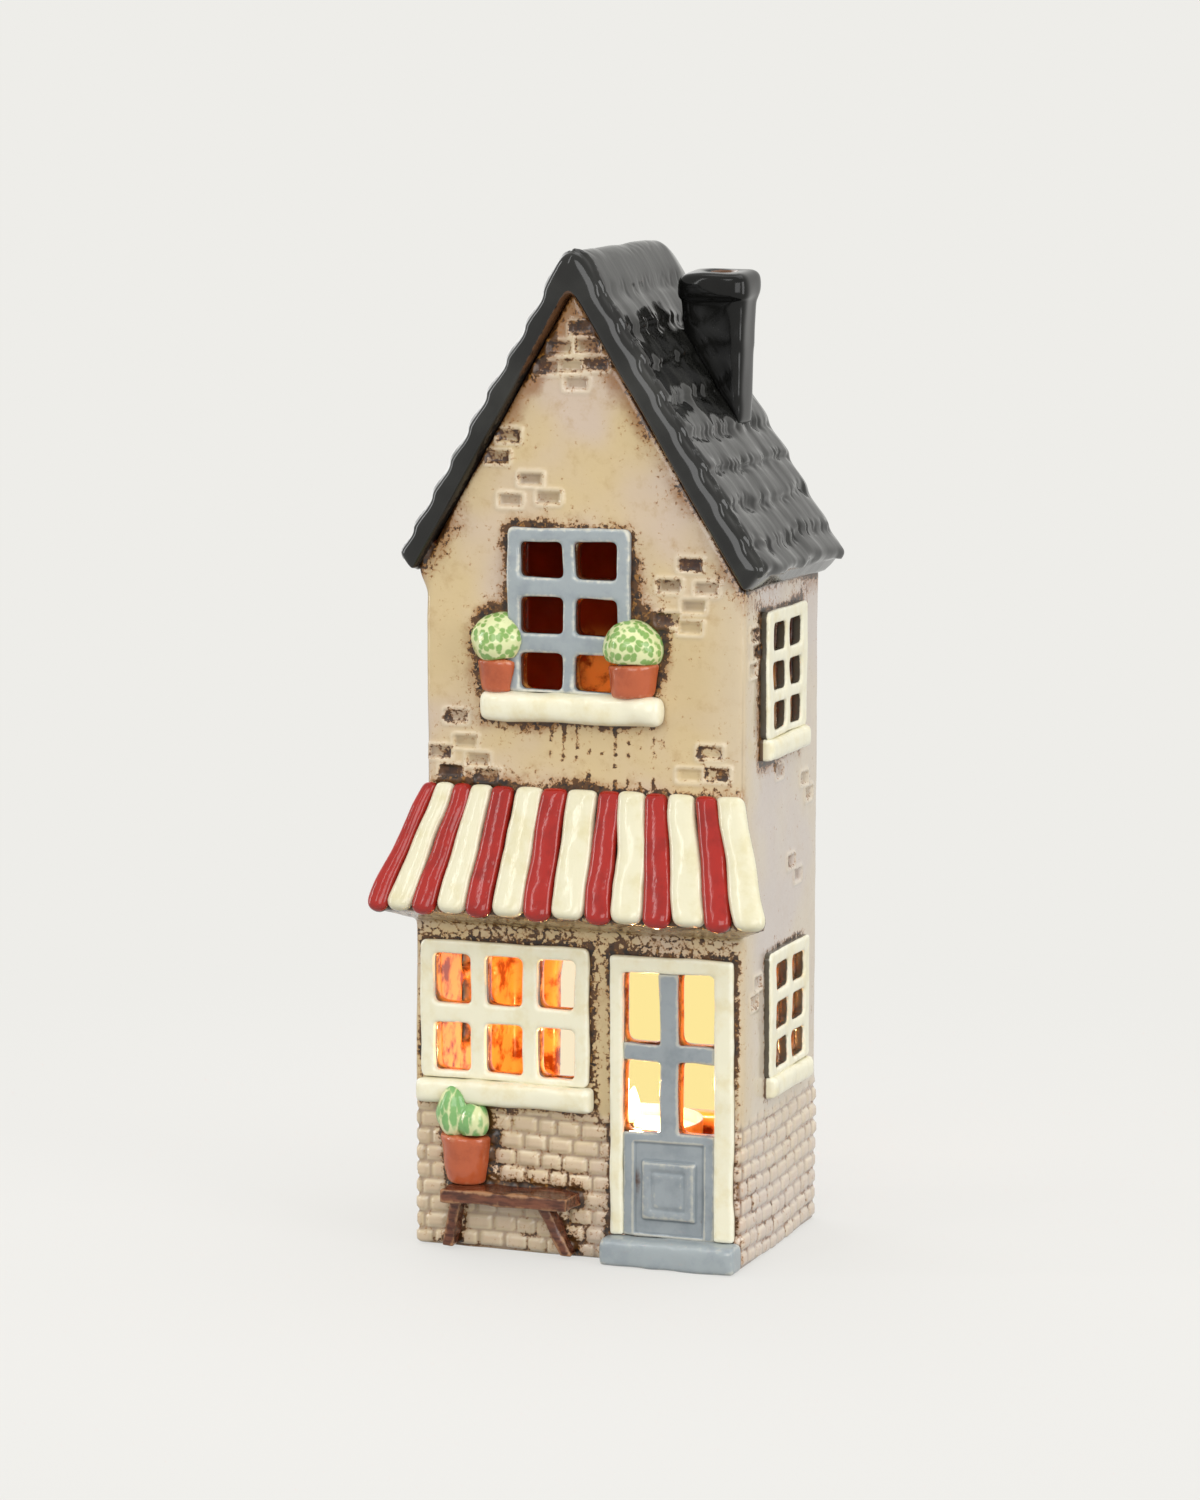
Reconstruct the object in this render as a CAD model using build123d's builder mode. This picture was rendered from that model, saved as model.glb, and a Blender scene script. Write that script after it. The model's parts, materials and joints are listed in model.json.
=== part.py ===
from build123d import *
import os
from math import atan2, cos, sin

# A glazed ceramic shop-front house for a tealight, built from clay slabs with
# applied mouldings. Millimetres, +Z up, the shop front faces -Y. The origin is
# the middle of the whole object's outline, on the surface that it stands on.

os.makedirs("parts", exist_ok=True)

# Shell of four walls, measured outside
house_width = 90.0
house_depth = 63.5
wall_thickness = 5.0
upper_storey_height = 53.0  # from the awning's head to the right eave
left_eave_lift = 5.8  # above the right eave
gable_rise = 74.8  # from the right eave to the gable's peak
gable_across = -1.0  # the gable's peak lies left of the walls' middle
left_setback = 3.5  # the upper storey steps in on its left side
setback_drop = 4.0  # from the awning's head down to the step
setback_length = 26.0

# Floor slab that carries the tealight, raised inside the walls
floor_level = 16.5
floor_thickness = 5.0

# Arched opening in the rear wall
rear_opening_width = 55.0
rear_sill_height = 27.5
rear_spring_height = 60.0

# Roof slabs with stepped courses, and the roll along the ridge
left_roof_thickness = 4.9
right_roof_thickness = 6.4
course_lip = 1.5
course_count = 8
left_eave_overhang = 4.8
right_eave_overhang = 1.2
eave_bevel = 2.7
front_overhang = 4.0
rear_overhang = 6.5
ridge_seat_rise = 3.7  # from the gable's peak to where the slabs are cut level under the roll
ridge_reach = 4.5  # how far the roll comes down each slope from the gable's peak
ridge_rounding = 4.1

# Chimney on the right slope
chimney_across = 23.4
chimney_behind = 12.2
chimney_width = 13.4
chimney_depth = 9.5
chimney_flare = 1.5
chimney_clearance = 6.4  # from the roof beside the shaft to the rim
rim_height = 6.5
rim_overhang = 0.9
rim_rounding = 1.5
flue_width = 7.0
flue_depth = 6.2

# Awning over the shop front: a wedge of clay that carries the stripes
awning_clearance = 4.5  # above the shop window and the door
awning_lip_rise = 5.0  # from the awning's foot on the wall to its lip
awning_drop = 31.0  # from its head on the wall to its lip
awning_reach = 14.0
awning_left_flare = 8.0  # past the wall's edge, at the lip
awning_right_flare = 11.0
head_pair_shares = (0.101, 0.121, 0.157, 0.175, 0.151, 0.147, 0.148)  # of each red and cream pair
lip_pair_shares = (0.120, 0.135, 0.146, 0.153, 0.148, 0.156, 0.142)
red_share = 0.455  # of its pair
stripe_height = 2.6
stripe_gap = 0.3
stripe_head_radius = 1.3
stripe_end_radius = 2.2
stripe_rounding = 1.05
red_drop = 0.8  # the red stripes hang lower than the cream ones

# Window frames, alike in their bars and relief
frame_relief = 2.1
frame_corner = 1.5
pane_corner = 1.2
window_stile = 3.8
window_head = 3.6
window_base = 2.0
window_bar = 4.2
window_rail = 5.0
sill_relief = 4.6
sill_rounding = 1.8

# Shop window
shop_centre_share = -0.2156  # of the walls' width, from their middle
shop_width_share = 0.5156
shop_foot = 45.2
shop_height = 36.3
shop_sill_overhang = 1.1
shop_sill_height = 6.5

# Upper window and the plants on its sill
upper_centre = -1.6
upper_drop = 28.0  # from the right eave to the window's foot
upper_width = 33.3
upper_height = 42.5
upper_stile = 3.5
upper_bar = 3.3
upper_base = 0.8  # the lowest panes reach down almost to the sill
upper_sill_overhang = 6.85
upper_sill_height = 7.0
window_pot_offset = 1.55  # from the frame's edge out to the pot's middle
window_pot_shift = -1.1  # the two pots lie a little left of the window
left_pot_radius = 6.2
right_pot_radius = 7.2
window_pot_foot_share = 0.78  # of the pot's radius
window_pot_height = 8.7
shrub_overhang = 1.1  # past the pot's mouth
shrub_rise = 4.6  # from the pot's mouth to the middle of the shrub

# Windows in the side walls, with narrower bars
side_width = 33.6
side_height = 32.6
side_stile = 5.0
side_bar = 3.4
side_rail = 3.2
side_upper_back = -1.2
side_upper_drop = 39.4  # from the right eave to the window's foot
side_lower_back = 2.6
side_lower_foot = 47.0
side_sill_height = 5.8
side_sill_relief = 3.4

# Shop door
door_centre_share = 0.2922  # of the walls' width, from their middle
door_width_share = 0.3722
door_height = 73.2
door_jamb = 4.4
door_head = 4.1
leaf_relief = 1.3
leaf_shift = -0.8  # the leaf hangs nearer its left jamb
leaf_muntin = 5.0
leaf_rail = 4.5
leaf_panel_height = 27.3
panel_width = 13.8
panel_height = 14.6
panel_relief = 0.9
panel_drop = 1.3
panel_border = 1.9
panel_groove = 1.2
doorstep_overhang = 1.6
doorstep_height = 7.3
doorstep_reach = 6.8
doorstep_shift = 0.4
doorstep_rounding = 1.6

# Bench by the wall, with a potted plant
bench_centre_share = -0.1856  # of the walls' width, from their middle
bench_width = 35.0
bench_height = 17.5
bench_thickness = 3.6
bench_reach = 10.0
leg_width = 3.2
leg_reach = 4.2
leg_foot = 1.0  # above the ground
left_leg_inset = 2.4
left_leg_splay = 2.8
right_leg_inset = 9.2
right_leg_splay = 6.8
bench_pot_inset = 4.0
bench_pot_radius = 7.2
bench_pot_foot_radius = 5.4
bench_pot_height = 13.4
tall_lobe_radius = 4.5
tall_lobe_height = 14.6
tall_lobe_shift = -2.6
short_lobe_radius = 4.2
short_lobe_height = 9.6
short_lobe_shift = 2.9
leaf_stand = 3.2  # from the wall to the leaves' middle, so that they pass before the sill

# Tealight
tealight_across = 5.5
tealight_gap = 2.55  # from the front wall's inside to the cup
cup_diameter = 38.0
cup_height = 15.5
cup_gauge = 0.5
wax_depth = 12.0
wax_clearance = 0.2
wick_diameter = 1.6
wick_rise = 6.0  # above the wax
tab_diameter = 12.0
tab_gauge = 0.6
tab_collar_diameter = 3.4
tab_collar_height = 4.0
wick_clearance = 0.1

overrun = 1.0  # how far cuts run past what they cut

# Values worked out from those above
shop_centre = shop_centre_share * house_width
shop_width = shop_width_share * house_width
door_foot = doorstep_height
door_centre = door_centre_share * house_width
door_width = door_width_share * house_width
awning_foot = max(shop_foot + shop_height, door_foot + door_height) + awning_clearance
awning_lip_height = awning_foot + awning_lip_rise
awning_head = awning_lip_height + awning_drop
awning_left = house_width / 2 + awning_left_flare
awning_right = house_width / 2 + awning_right_flare
setback_head = awning_head - setback_drop
setback_foot = setback_head - setback_length
right_eave_height = awning_head + upper_storey_height
left_eave_height = right_eave_height + left_eave_lift
gable_height = right_eave_height + gable_rise
ridge_seat_height = gable_height + ridge_seat_rise
upper_left_edge = left_setback - house_width / 2
upper_foot = right_eave_height - upper_drop
side_upper_foot = right_eave_height - side_upper_drop
awning_slope = (awning_reach**2 + awning_drop**2) ** 0.5
lip_fall = awning_drop / awning_slope
lip_run = awning_reach / awning_slope
awning_front = (
    (awning_slope + red_drop - stripe_rounding) * lip_run
    + (stripe_height - stripe_rounding) * lip_fall
    + stripe_rounding
)
middle_x = (awning_left - awning_right) / 2
middle_y = (awning_front - rear_overhang) / 2
front_y = middle_y - house_depth / 2

# Wall faces: across and up on each face, with the normal pointing out
front = Plane(origin=(middle_x, front_y, 0), x_dir=(1, 0, 0), z_dir=(0, -1, 0))
right = Plane(origin=(middle_x + house_width / 2, middle_y, 0), x_dir=(0, 1, 0), z_dir=(1, 0, 0))
left = Plane(origin=(middle_x - house_width / 2, middle_y, 0), x_dir=(0, -1, 0), z_dir=(-1, 0, 0))
upper_left = left.offset(-left_setback)
inner_front = front.offset(-wall_thickness)
inner_depth = house_depth - 2 * wall_thickness


def finish(builder, name):
    """Label a finished piece and write it."""
    builder.part.label = name
    export_step(builder.part, f"parts/{name}.step")


class Window:
    """A window seen square on: its outline on the wall and its panes."""

    def __init__(self, centre, foot, width, height, columns, rows, stile, bar, rail, base):
        self.centre = centre
        self.foot = foot
        self.width = width
        self.height = height
        self.columns = columns
        self.rows = rows
        self.bar = bar
        self.rail = rail
        self.grid_foot = foot + base
        self.grid_height = height - window_head - base
        self.pane_width = (width - 2 * stile - (columns - 1) * bar) / columns
        self.pane_height = (self.grid_height - (rows - 1) * rail) / rows

    def outline(self):
        with Locations((self.centre, self.foot + self.height / 2)):
            RectangleRounded(self.width, self.height, frame_corner)

    def panes(self, mode):
        step_across = self.pane_width + self.bar
        step_up = self.pane_height + self.rail
        with Locations((self.centre, self.grid_foot + self.grid_height / 2)):
            with GridLocations(step_across, step_up, self.columns, self.rows):
                RectangleRounded(self.pane_width, self.pane_height, pane_corner, mode=mode)


shop_window = Window(
    centre=shop_centre,
    foot=shop_foot,
    width=shop_width,
    height=shop_height,
    columns=3,
    rows=2,
    stile=window_stile,
    bar=window_bar,
    rail=window_rail,
    base=window_base,
)
upper_window = Window(
    centre=upper_centre,
    foot=upper_foot,
    width=upper_width,
    height=upper_height,
    columns=2,
    rows=3,
    stile=upper_stile,
    bar=upper_bar,
    rail=window_rail,
    base=upper_base,
)


def side_window(back, foot):
    """A side window whose middle is a distance behind the middle of its wall."""
    return Window(back, foot, side_width, side_height, 2, 3, side_stile, side_bar, side_rail, window_base)


side_windows = {
    "right_upper": (right, side_window(side_upper_back, side_upper_foot)),
    "right_lower": (right, side_window(side_lower_back, side_lower_foot)),
    "left_upper": (upper_left, side_window(-side_upper_back, side_upper_foot)),
    "left_lower": (left, side_window(-side_lower_back, side_lower_foot)),
}

# Door leaf, seen from the front
leaf_width = door_width - 2 * door_jamb
leaf_height = door_height - door_head
door_pane_width = (leaf_width - leaf_muntin) / 2
door_pane_height = (leaf_height - leaf_panel_height - leaf_rail) / 2
leaf_centre = door_centre + leaf_shift
door_panes_middle = door_foot + leaf_panel_height + door_pane_height + leaf_rail / 2


def door_panes(mode):
    with Locations((leaf_centre, door_panes_middle)):
        with GridLocations(door_pane_width + leaf_muntin, door_pane_height + leaf_rail, 2, 2):
            Rectangle(door_pane_width, door_pane_height, mode=mode)


class Slope:
    """One slope of the roof, from the gable's peak down past the head of its side wall."""

    def __init__(self, side, eave_across, eave_height, overhang, thickness):
        self.side = side
        self.thickness = thickness
        rise = gable_height - eave_height
        run = abs(eave_across - gable_across)
        self.rise_per_across = rise / run
        self.pitch = atan2(rise, run)
        self.eave_along = rise / sin(self.pitch) + overhang

    def point(self, along, out):
        """A point of the roof's section, down the slope from the peak and out from the underside."""
        across = gable_across + self.side * (along * cos(self.pitch) + out * sin(self.pitch))
        return across, gable_height - along * sin(self.pitch) + out * cos(self.pitch)

    def seat_point(self):
        """Where the slab's upper face comes up to the level seat of the ridge roll."""
        along = (gable_height + self.thickness * cos(self.pitch) - ridge_seat_height) / sin(self.pitch)
        return self.point(along, self.thickness)

    def plane(self, out):
        """Plane along the slope, out from the underside, with its normal pointing up."""
        across, up = self.point(0, out)
        return Plane(
            origin=(middle_x + across, middle_y, up),
            x_dir=(0, 1, 0),
            z_dir=(self.side * sin(self.pitch), 0, cos(self.pitch)),
        )

    def top_at(self, across):
        """Height of the courses' lips at a place across the house."""
        underside = gable_height - abs(across - gable_across) * self.rise_per_across
        return underside + (self.thickness + course_lip) / cos(self.pitch)

    def section(self):
        """Section of the slab, its upper face stepped by the courses."""
        lip = self.thickness + course_lip
        course_length = (self.eave_along - ridge_reach) / course_count
        points = [
            self.point(0, 0),
            self.point(self.eave_along, 0),
            self.point(self.eave_along - eave_bevel, lip),
        ]
        for course in range(course_count - 1, 0, -1):
            joint = ridge_reach + course * course_length
            points.append(self.point(joint, self.thickness))
            points.append(self.point(joint, lip))
        points.append(self.point(ridge_reach, self.thickness))
        points.append(self.seat_point())
        points.append((gable_across, ridge_seat_height))
        Polygon(*points, align=None)


left_slope = Slope(-1, upper_left_edge, left_eave_height, left_eave_overhang, left_roof_thickness)
right_slope = Slope(1, house_width / 2, right_eave_height, right_eave_overhang, right_roof_thickness)


def gable_outline():
    """Outline of the front and rear walls, seen from the front."""
    half = house_width / 2
    Polygon(
        (-half, 0),
        (half, 0),
        (half, right_eave_height),
        (gable_across, gable_height),
        (upper_left_edge, left_eave_height),
        (upper_left_edge, setback_head),
        (-half, setback_foot),
        align=None,
    )


# Walls
with BuildPart() as front_wall:
    with BuildSketch(front):
        gable_outline()
        shop_window.panes(Mode.SUBTRACT)
        upper_window.panes(Mode.SUBTRACT)
        door_panes(Mode.SUBTRACT)
    extrude(amount=-wall_thickness)
finish(front_wall, "front_wall")

with BuildPart() as rear_wall:
    with BuildSketch(inner_front.offset(-inner_depth)):
        gable_outline()
        half_opening = rear_opening_width / 2
        with BuildLine():
            Line((-half_opening, rear_sill_height), (half_opening, rear_sill_height))
            Line((half_opening, rear_sill_height), (half_opening, rear_spring_height))
            ThreePointArc(
                (half_opening, rear_spring_height),
                (0, rear_spring_height + half_opening),
                (-half_opening, rear_spring_height),
            )
            Line((-half_opening, rear_spring_height), (-half_opening, rear_sill_height))
        make_face(mode=Mode.SUBTRACT)
    extrude(amount=-wall_thickness)
finish(rear_wall, "rear_wall")

with BuildPart() as right_wall:
    with BuildSketch(inner_front):
        outer = house_width / 2
        inner = outer - wall_thickness
        inner_top = right_eave_height + wall_thickness * right_slope.rise_per_across
        Polygon((inner, 0), (outer, 0), (outer, right_eave_height), (inner, inner_top), align=None)
    extrude(amount=-inner_depth)
    with BuildSketch(right):
        side_windows["right_upper"][1].panes(Mode.ADD)
        side_windows["right_lower"][1].panes(Mode.ADD)
    extrude(amount=-wall_thickness, mode=Mode.SUBTRACT)
finish(right_wall, "right_wall")

with BuildPart() as left_wall:
    with BuildSketch(inner_front):
        outer = -house_width / 2
        inner = outer + wall_thickness
        inner_top = left_eave_height + wall_thickness * left_slope.rise_per_across
        Polygon(
            (outer, 0),
            (outer, setback_foot),
            (upper_left_edge, setback_head),
            (upper_left_edge, left_eave_height),
            (upper_left_edge + wall_thickness, inner_top),
            (upper_left_edge + wall_thickness, setback_head),
            (inner, setback_foot),
            (inner, 0),
            align=None,
        )
    extrude(amount=-inner_depth)
    with BuildSketch(upper_left):
        side_windows["left_upper"][1].panes(Mode.ADD)
    extrude(amount=-wall_thickness, mode=Mode.SUBTRACT)
    with BuildSketch(left):
        side_windows["left_lower"][1].panes(Mode.ADD)
    extrude(amount=-wall_thickness, mode=Mode.SUBTRACT)
finish(left_wall, "left_wall")

with BuildPart() as floor_slab:
    with BuildSketch(Plane(origin=(middle_x, middle_y, floor_level))):
        Rectangle(house_width - 2 * wall_thickness, inner_depth)
    extrude(amount=-floor_thickness)
finish(floor_slab, "floor_slab")


# Roof
roof_front = front.offset(front_overhang)
roof_depth = front_overhang + house_depth + rear_overhang
shaft_top_width = chimney_width + 2 * chimney_flare
shaft_top_depth = chimney_depth + 2 * chimney_flare
rim_width = shaft_top_width + 2 * rim_overhang
rim_depth = shaft_top_depth + 2 * rim_overhang
chimney_height = right_slope.top_at(chimney_across - rim_width / 2) + chimney_clearance + rim_height
chimney_top_plane = Plane(origin=(middle_x + chimney_across, middle_y + chimney_behind, chimney_height))
shaft_outer = chimney_across + chimney_width / 2
shaft_base = gable_height - (shaft_outer - gable_across) * right_slope.rise_per_across

with BuildPart() as roof_left:
    with BuildSketch(roof_front):
        left_slope.section()
    extrude(amount=-roof_depth)
finish(roof_left, "roof_left")

# The chimney's shaft runs into the roof. Its root, up to the courses' lips, is one with the slab.
with BuildPart() as shaft:
    with BuildSketch(chimney_top_plane.offset(shaft_base - chimney_height)):
        Rectangle(chimney_width, chimney_depth)
    with BuildSketch(chimney_top_plane.offset(-rim_height)):
        Rectangle(shaft_top_width, shaft_top_depth)
    loft()

slab_middle = right_slope.plane(right_roof_thickness / 2)
lip_plane = right_slope.plane(right_roof_thickness + course_lip)

with BuildPart() as shaft_root:
    add(shaft.part)
    split(bisect_by=slab_middle, keep=Keep.TOP)
    split(bisect_by=lip_plane, keep=Keep.BOTTOM)

with BuildPart() as roof_right:
    with BuildSketch(roof_front):
        right_slope.section()
    extrude(amount=-roof_depth)
    add(shaft_root.part)
    with BuildSketch(chimney_top_plane):
        Ellipse(flue_width / 2, flue_depth / 2)
    extrude(amount=-chimney_height, mode=Mode.SUBTRACT)
finish(roof_right, "roof_right")

# The roll is the topmost course of both slopes, rounded over the peak where they would meet
left_lip = left_roof_thickness + course_lip
right_lip = right_roof_thickness + course_lip
between = sin(left_slope.pitch + right_slope.pitch)
ridge_peak = (
    gable_across + (right_lip * cos(left_slope.pitch) - left_lip * cos(right_slope.pitch)) / between,
    gable_height + (right_lip * sin(left_slope.pitch) + left_lip * sin(right_slope.pitch)) / between,
)

with BuildPart() as ridge_roll:
    with BuildSketch(roof_front) as roll_sketch:
        Polygon(
            left_slope.seat_point(),
            left_slope.point(ridge_reach, left_roof_thickness),
            left_slope.point(ridge_reach, left_lip),
            ridge_peak,
            right_slope.point(ridge_reach, right_lip),
            right_slope.point(ridge_reach, right_roof_thickness),
            right_slope.seat_point(),
            align=None,
        )
        fillet(roll_sketch.vertices().sort_by(Axis.Y)[-1], radius=ridge_rounding)
    extrude(amount=-roof_depth)
finish(ridge_roll, "ridge_roll")

# Chimney
with BuildPart() as chimney_stack:
    add(shaft.part)
    split(bisect_by=lip_plane, keep=Keep.TOP)
    with BuildSketch(chimney_top_plane):
        Ellipse(flue_width / 2, flue_depth / 2)
    extrude(amount=-chimney_height, mode=Mode.SUBTRACT)
finish(chimney_stack, "chimney_stack")

with BuildPart() as chimney_rim:
    with BuildSketch(chimney_top_plane):
        Rectangle(rim_width, rim_depth)
    extrude(amount=-rim_height)
    fillet(chimney_rim.edges(), radius=rim_rounding)
    with BuildSketch(chimney_top_plane):
        Ellipse(flue_width / 2, flue_depth / 2)
    extrude(amount=-rim_height, mode=Mode.SUBTRACT)
finish(chimney_rim, "chimney_rim")

# Awning. Its ends lean out from the walls' edges to the lip.
awning_profile = Plane(origin=(middle_x, front_y, 0), x_dir=(0, -1, 0), z_dir=(-1, 0, 0))


def awning_end(wall_head, wall_foot, lip):
    """Plane through one end of the awning, from its places across the front."""
    head_point = Vector(middle_x + wall_head, front_y, awning_head)
    foot_point = Vector(middle_x + wall_foot, front_y, awning_foot)
    lip_point = Vector(middle_x + lip, front_y - awning_reach, awning_lip_height)
    normal = (head_point - lip_point).cross(foot_point - lip_point)
    return Plane(origin=lip_point, z_dir=normal)


left_end = awning_end(upper_left_edge, -house_width / 2, -awning_left)
right_end = awning_end(house_width / 2, house_width / 2, awning_right)

with BuildPart() as awning_backing:
    with BuildSketch(awning_profile):
        Polygon((0, awning_head), (awning_reach, awning_lip_height), (0, awning_foot), align=None)
    extrude(amount=awning_left + overrun)
    extrude(awning_backing.faces().sort_by(Axis.X)[-1], amount=awning_right + overrun)
    split(bisect_by=left_end, keep=Keep.BOTTOM)
    split(bisect_by=right_end, keep=Keep.TOP)
finish(awning_backing, "awning_backing")

awning_face = Plane(
    origin=(middle_x, front_y, awning_head), x_dir=(1, 0, 0), z_dir=(0, -awning_drop, awning_reach)
)


def stripe_edges(pair, is_red, start, end, pair_shares):
    """Where a stripe's two edges lie across the awning, between its ends."""
    before = sum(pair_shares[:pair])
    middle = before + red_share * pair_shares[pair]
    after = before + pair_shares[pair]
    shares = (before, middle) if is_red else (middle, after)
    return [start + (end - start) * share for share in shares]


for stripe_number in range(2 * len(lip_pair_shares)):
    pair = stripe_number // 2
    is_red = stripe_number % 2 == 0
    end = -awning_slope - (red_drop if is_red else 0)
    head_edges = stripe_edges(pair, is_red, upper_left_edge, house_width / 2, head_pair_shares)
    lip_edges = stripe_edges(pair, is_red, -awning_left, awning_right, lip_pair_shares)
    margin = stripe_gap / 2
    with BuildPart() as stripe:
        with BuildSketch(awning_face) as stripe_sketch:
            Polygon(
                (head_edges[0] + margin, 0),
                (lip_edges[0] + margin, end),
                (lip_edges[1] - margin, end),
                (head_edges[1] - margin, 0),
                align=None,
            )
            corners = stripe_sketch.vertices().sort_by(Axis.Y)
            fillet(corners[:2], radius=stripe_end_radius)
            fillet(corners[2:], radius=stripe_head_radius)
        extrude(amount=stripe_height)
        outer_face = stripe.faces().sort_by(Axis(awning_face.origin, awning_face.z_dir))[-1]
        fillet(outer_face.edges(), radius=stripe_rounding)
    colour = "red" if is_red else "cream"
    finish(stripe, f"awning_stripe_{stripe_number + 1:02d}_{colour}")


# Windows
def window_frame(plane, window, name):
    with BuildPart() as frame:
        with BuildSketch(plane):
            window.outline()
            window.panes(Mode.SUBTRACT)
        extrude(amount=frame_relief)
    finish(frame, name)


def sill(plane, window, overhang, height, relief, name):
    """A rounded bar under a window, longer than it by an overhang at each end."""
    with BuildPart() as bar:
        with BuildSketch(plane):
            with Locations((window.centre, window.foot - height / 2)):
                Rectangle(window.width + 2 * overhang, height)
        extrude(amount=relief)
        outer_face = bar.faces().sort_by(Axis(plane.origin, plane.z_dir))[-1]
        fillet(outer_face.edges(), radius=sill_rounding)
    finish(bar, name)


window_frame(front, shop_window, "shop_window_frame")
window_frame(front, upper_window, "upper_window_frame")
sill(front, shop_window, shop_sill_overhang, shop_sill_height, sill_relief, "shop_window_sill")
sill(front, upper_window, upper_sill_overhang, upper_sill_height, sill_relief, "upper_window_sill")
for place, (plane, window) in side_windows.items():
    window_frame(plane, window, f"{place}_window_frame")
    sill(plane, window, 0, side_sill_height, side_sill_relief, f"{place}_window_sill")

# Door
with BuildPart() as door_surround:
    with BuildSketch(front):
        with Locations((door_centre, door_foot + door_height / 2)):
            Rectangle(door_width, door_height)
        with Locations((leaf_centre, door_foot + leaf_height / 2)):
            Rectangle(leaf_width, leaf_height, mode=Mode.SUBTRACT)
    extrude(amount=frame_relief)
finish(door_surround, "door_surround")

with BuildPart() as door_leaf:
    with BuildSketch(front):
        with Locations((leaf_centre, door_foot + leaf_height / 2)):
            Rectangle(leaf_width, leaf_height)
        door_panes(Mode.SUBTRACT)
    extrude(amount=leaf_relief)
finish(door_leaf, "door_leaf")

panel_middle = (leaf_centre, door_foot + leaf_panel_height / 2 - panel_drop)
groove_width = panel_width - 2 * panel_border
groove_height = panel_height - 2 * panel_border

with BuildPart() as door_panel:
    with BuildSketch(front.offset(leaf_relief)):
        with Locations(panel_middle):
            Rectangle(panel_width, panel_height)
    extrude(amount=panel_relief)
    with BuildSketch(front.offset(leaf_relief + panel_relief)):
        with Locations(panel_middle):
            Rectangle(groove_width, groove_height)
            Rectangle(groove_width - 2 * panel_groove, groove_height - 2 * panel_groove, mode=Mode.SUBTRACT)
    extrude(amount=-panel_relief / 2, mode=Mode.SUBTRACT)
finish(door_panel, "door_panel")

with BuildPart() as doorstep:
    with BuildSketch(front):
        with Locations((door_centre + doorstep_shift, doorstep_height / 2)):
            Rectangle(door_width + 2 * doorstep_overhang, doorstep_height)
    extrude(amount=doorstep_reach)
    top_edges = doorstep.faces().sort_by(Axis.Z)[-1].edges()
    fillet(top_edges.sort_by(Axis.Y)[0], radius=doorstep_rounding)
finish(doorstep, "doorstep")


# Pots and plants, turned about upright axes and cut off at the wall's face
def upright_plane(across, foot, stand=0):
    """Plane of a turned piece's profile, its origin on the axis."""
    return Plane(origin=front.from_local_coords((across, foot, stand)), x_dir=(1, 0, 0), z_dir=(0, -1, 0))


def upright_axis(across, stand=0):
    return Axis(front.from_local_coords((across, 0, stand)), (0, 0, 1))


def pot_profile(across, foot, radius, foot_radius, height):
    with BuildSketch(upright_plane(across, foot)) as profile:
        Polygon((0, 0), (foot_radius, 0), (radius, height), (0, height), align=None)
    return profile.sketch


def shrub_profile(across, foot, radius, rise):
    """Half a ball cut flat below, its middle a rise above the cut."""
    foot_radius = (radius**2 - rise**2) ** 0.5
    with BuildSketch(upright_plane(across, foot)) as profile:
        with BuildLine():
            Polyline((0, radius + rise), (0, 0), (foot_radius, 0))
            ThreePointArc((foot_radius, 0), (radius, rise), (0, radius + rise))
        make_face()
    return profile.sketch


def lobe_profile(across, foot, radius, height):
    """Half of a tall leaf, widest at half its height."""
    with BuildSketch(upright_plane(across, foot, leaf_stand)) as profile:
        with BuildLine():
            Line((0, 0), (0, height))
            ThreePointArc((0, height), (radius, height / 2), (0, 0))
        make_face()
    return profile.sketch


with BuildSketch(front) as upper_window_block:
    upper_window.outline()

pot_mouth = upper_foot + window_pot_height

for hand, side, radius in (("left", -1, left_pot_radius), ("right", 1, right_pot_radius)):
    across = upper_centre + window_pot_shift + side * (upper_width / 2 + window_pot_offset)
    with BuildPart() as window_pot:
        profile = pot_profile(across, upper_foot, radius, radius * window_pot_foot_share, window_pot_height)
        revolve(profile, axis=upright_axis(across))
        split(bisect_by=front, keep=Keep.TOP)
        extrude(upper_window_block.sketch, amount=frame_relief, mode=Mode.SUBTRACT)
    finish(window_pot, f"window_pot_{hand}")
    with BuildPart() as window_shrub:
        profile = shrub_profile(across, pot_mouth, radius + shrub_overhang, shrub_rise)
        revolve(profile, axis=upright_axis(across))
        split(bisect_by=front, keep=Keep.TOP)
        extrude(upper_window_block.sketch, amount=frame_relief, mode=Mode.SUBTRACT)
    finish(window_shrub, f"window_shrub_{hand}")

# Bench
bench_centre = bench_centre_share * house_width
bench_left = bench_centre - bench_width / 2
bench_right = bench_centre + bench_width / 2
leg_top = bench_height - bench_thickness

with BuildPart() as bench_seat:
    with BuildSketch(front):
        with Locations((bench_centre, bench_height - bench_thickness / 2)):
            Rectangle(bench_width, bench_thickness)
    extrude(amount=bench_reach)
finish(bench_seat, "bench_seat")


def bench_leg(top, splay, name):
    """A leg from under the seat almost to the ground, leaning by its splay."""
    half = leg_width / 2
    with BuildPart() as leg:
        with BuildSketch(front):
            Polygon(
                (top - half, leg_top),
                (top + splay - half, leg_foot),
                (top + splay + half, leg_foot),
                (top + half, leg_top),
                align=None,
            )
        extrude(amount=leg_reach)
    finish(leg, name)


bench_leg(bench_left + left_leg_inset, -left_leg_splay, "bench_leg_left")
bench_leg(bench_right - right_leg_inset, right_leg_splay, "bench_leg_right")

bench_pot_across = bench_left + bench_pot_inset
plant_foot = bench_height + bench_pot_height

with BuildPart() as bench_pot:
    profile = pot_profile(
        bench_pot_across, bench_height, bench_pot_radius, bench_pot_foot_radius, bench_pot_height
    )
    revolve(profile, axis=upright_axis(bench_pot_across))
    split(bisect_by=front, keep=Keep.TOP)
finish(bench_pot, "bench_pot")

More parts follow.
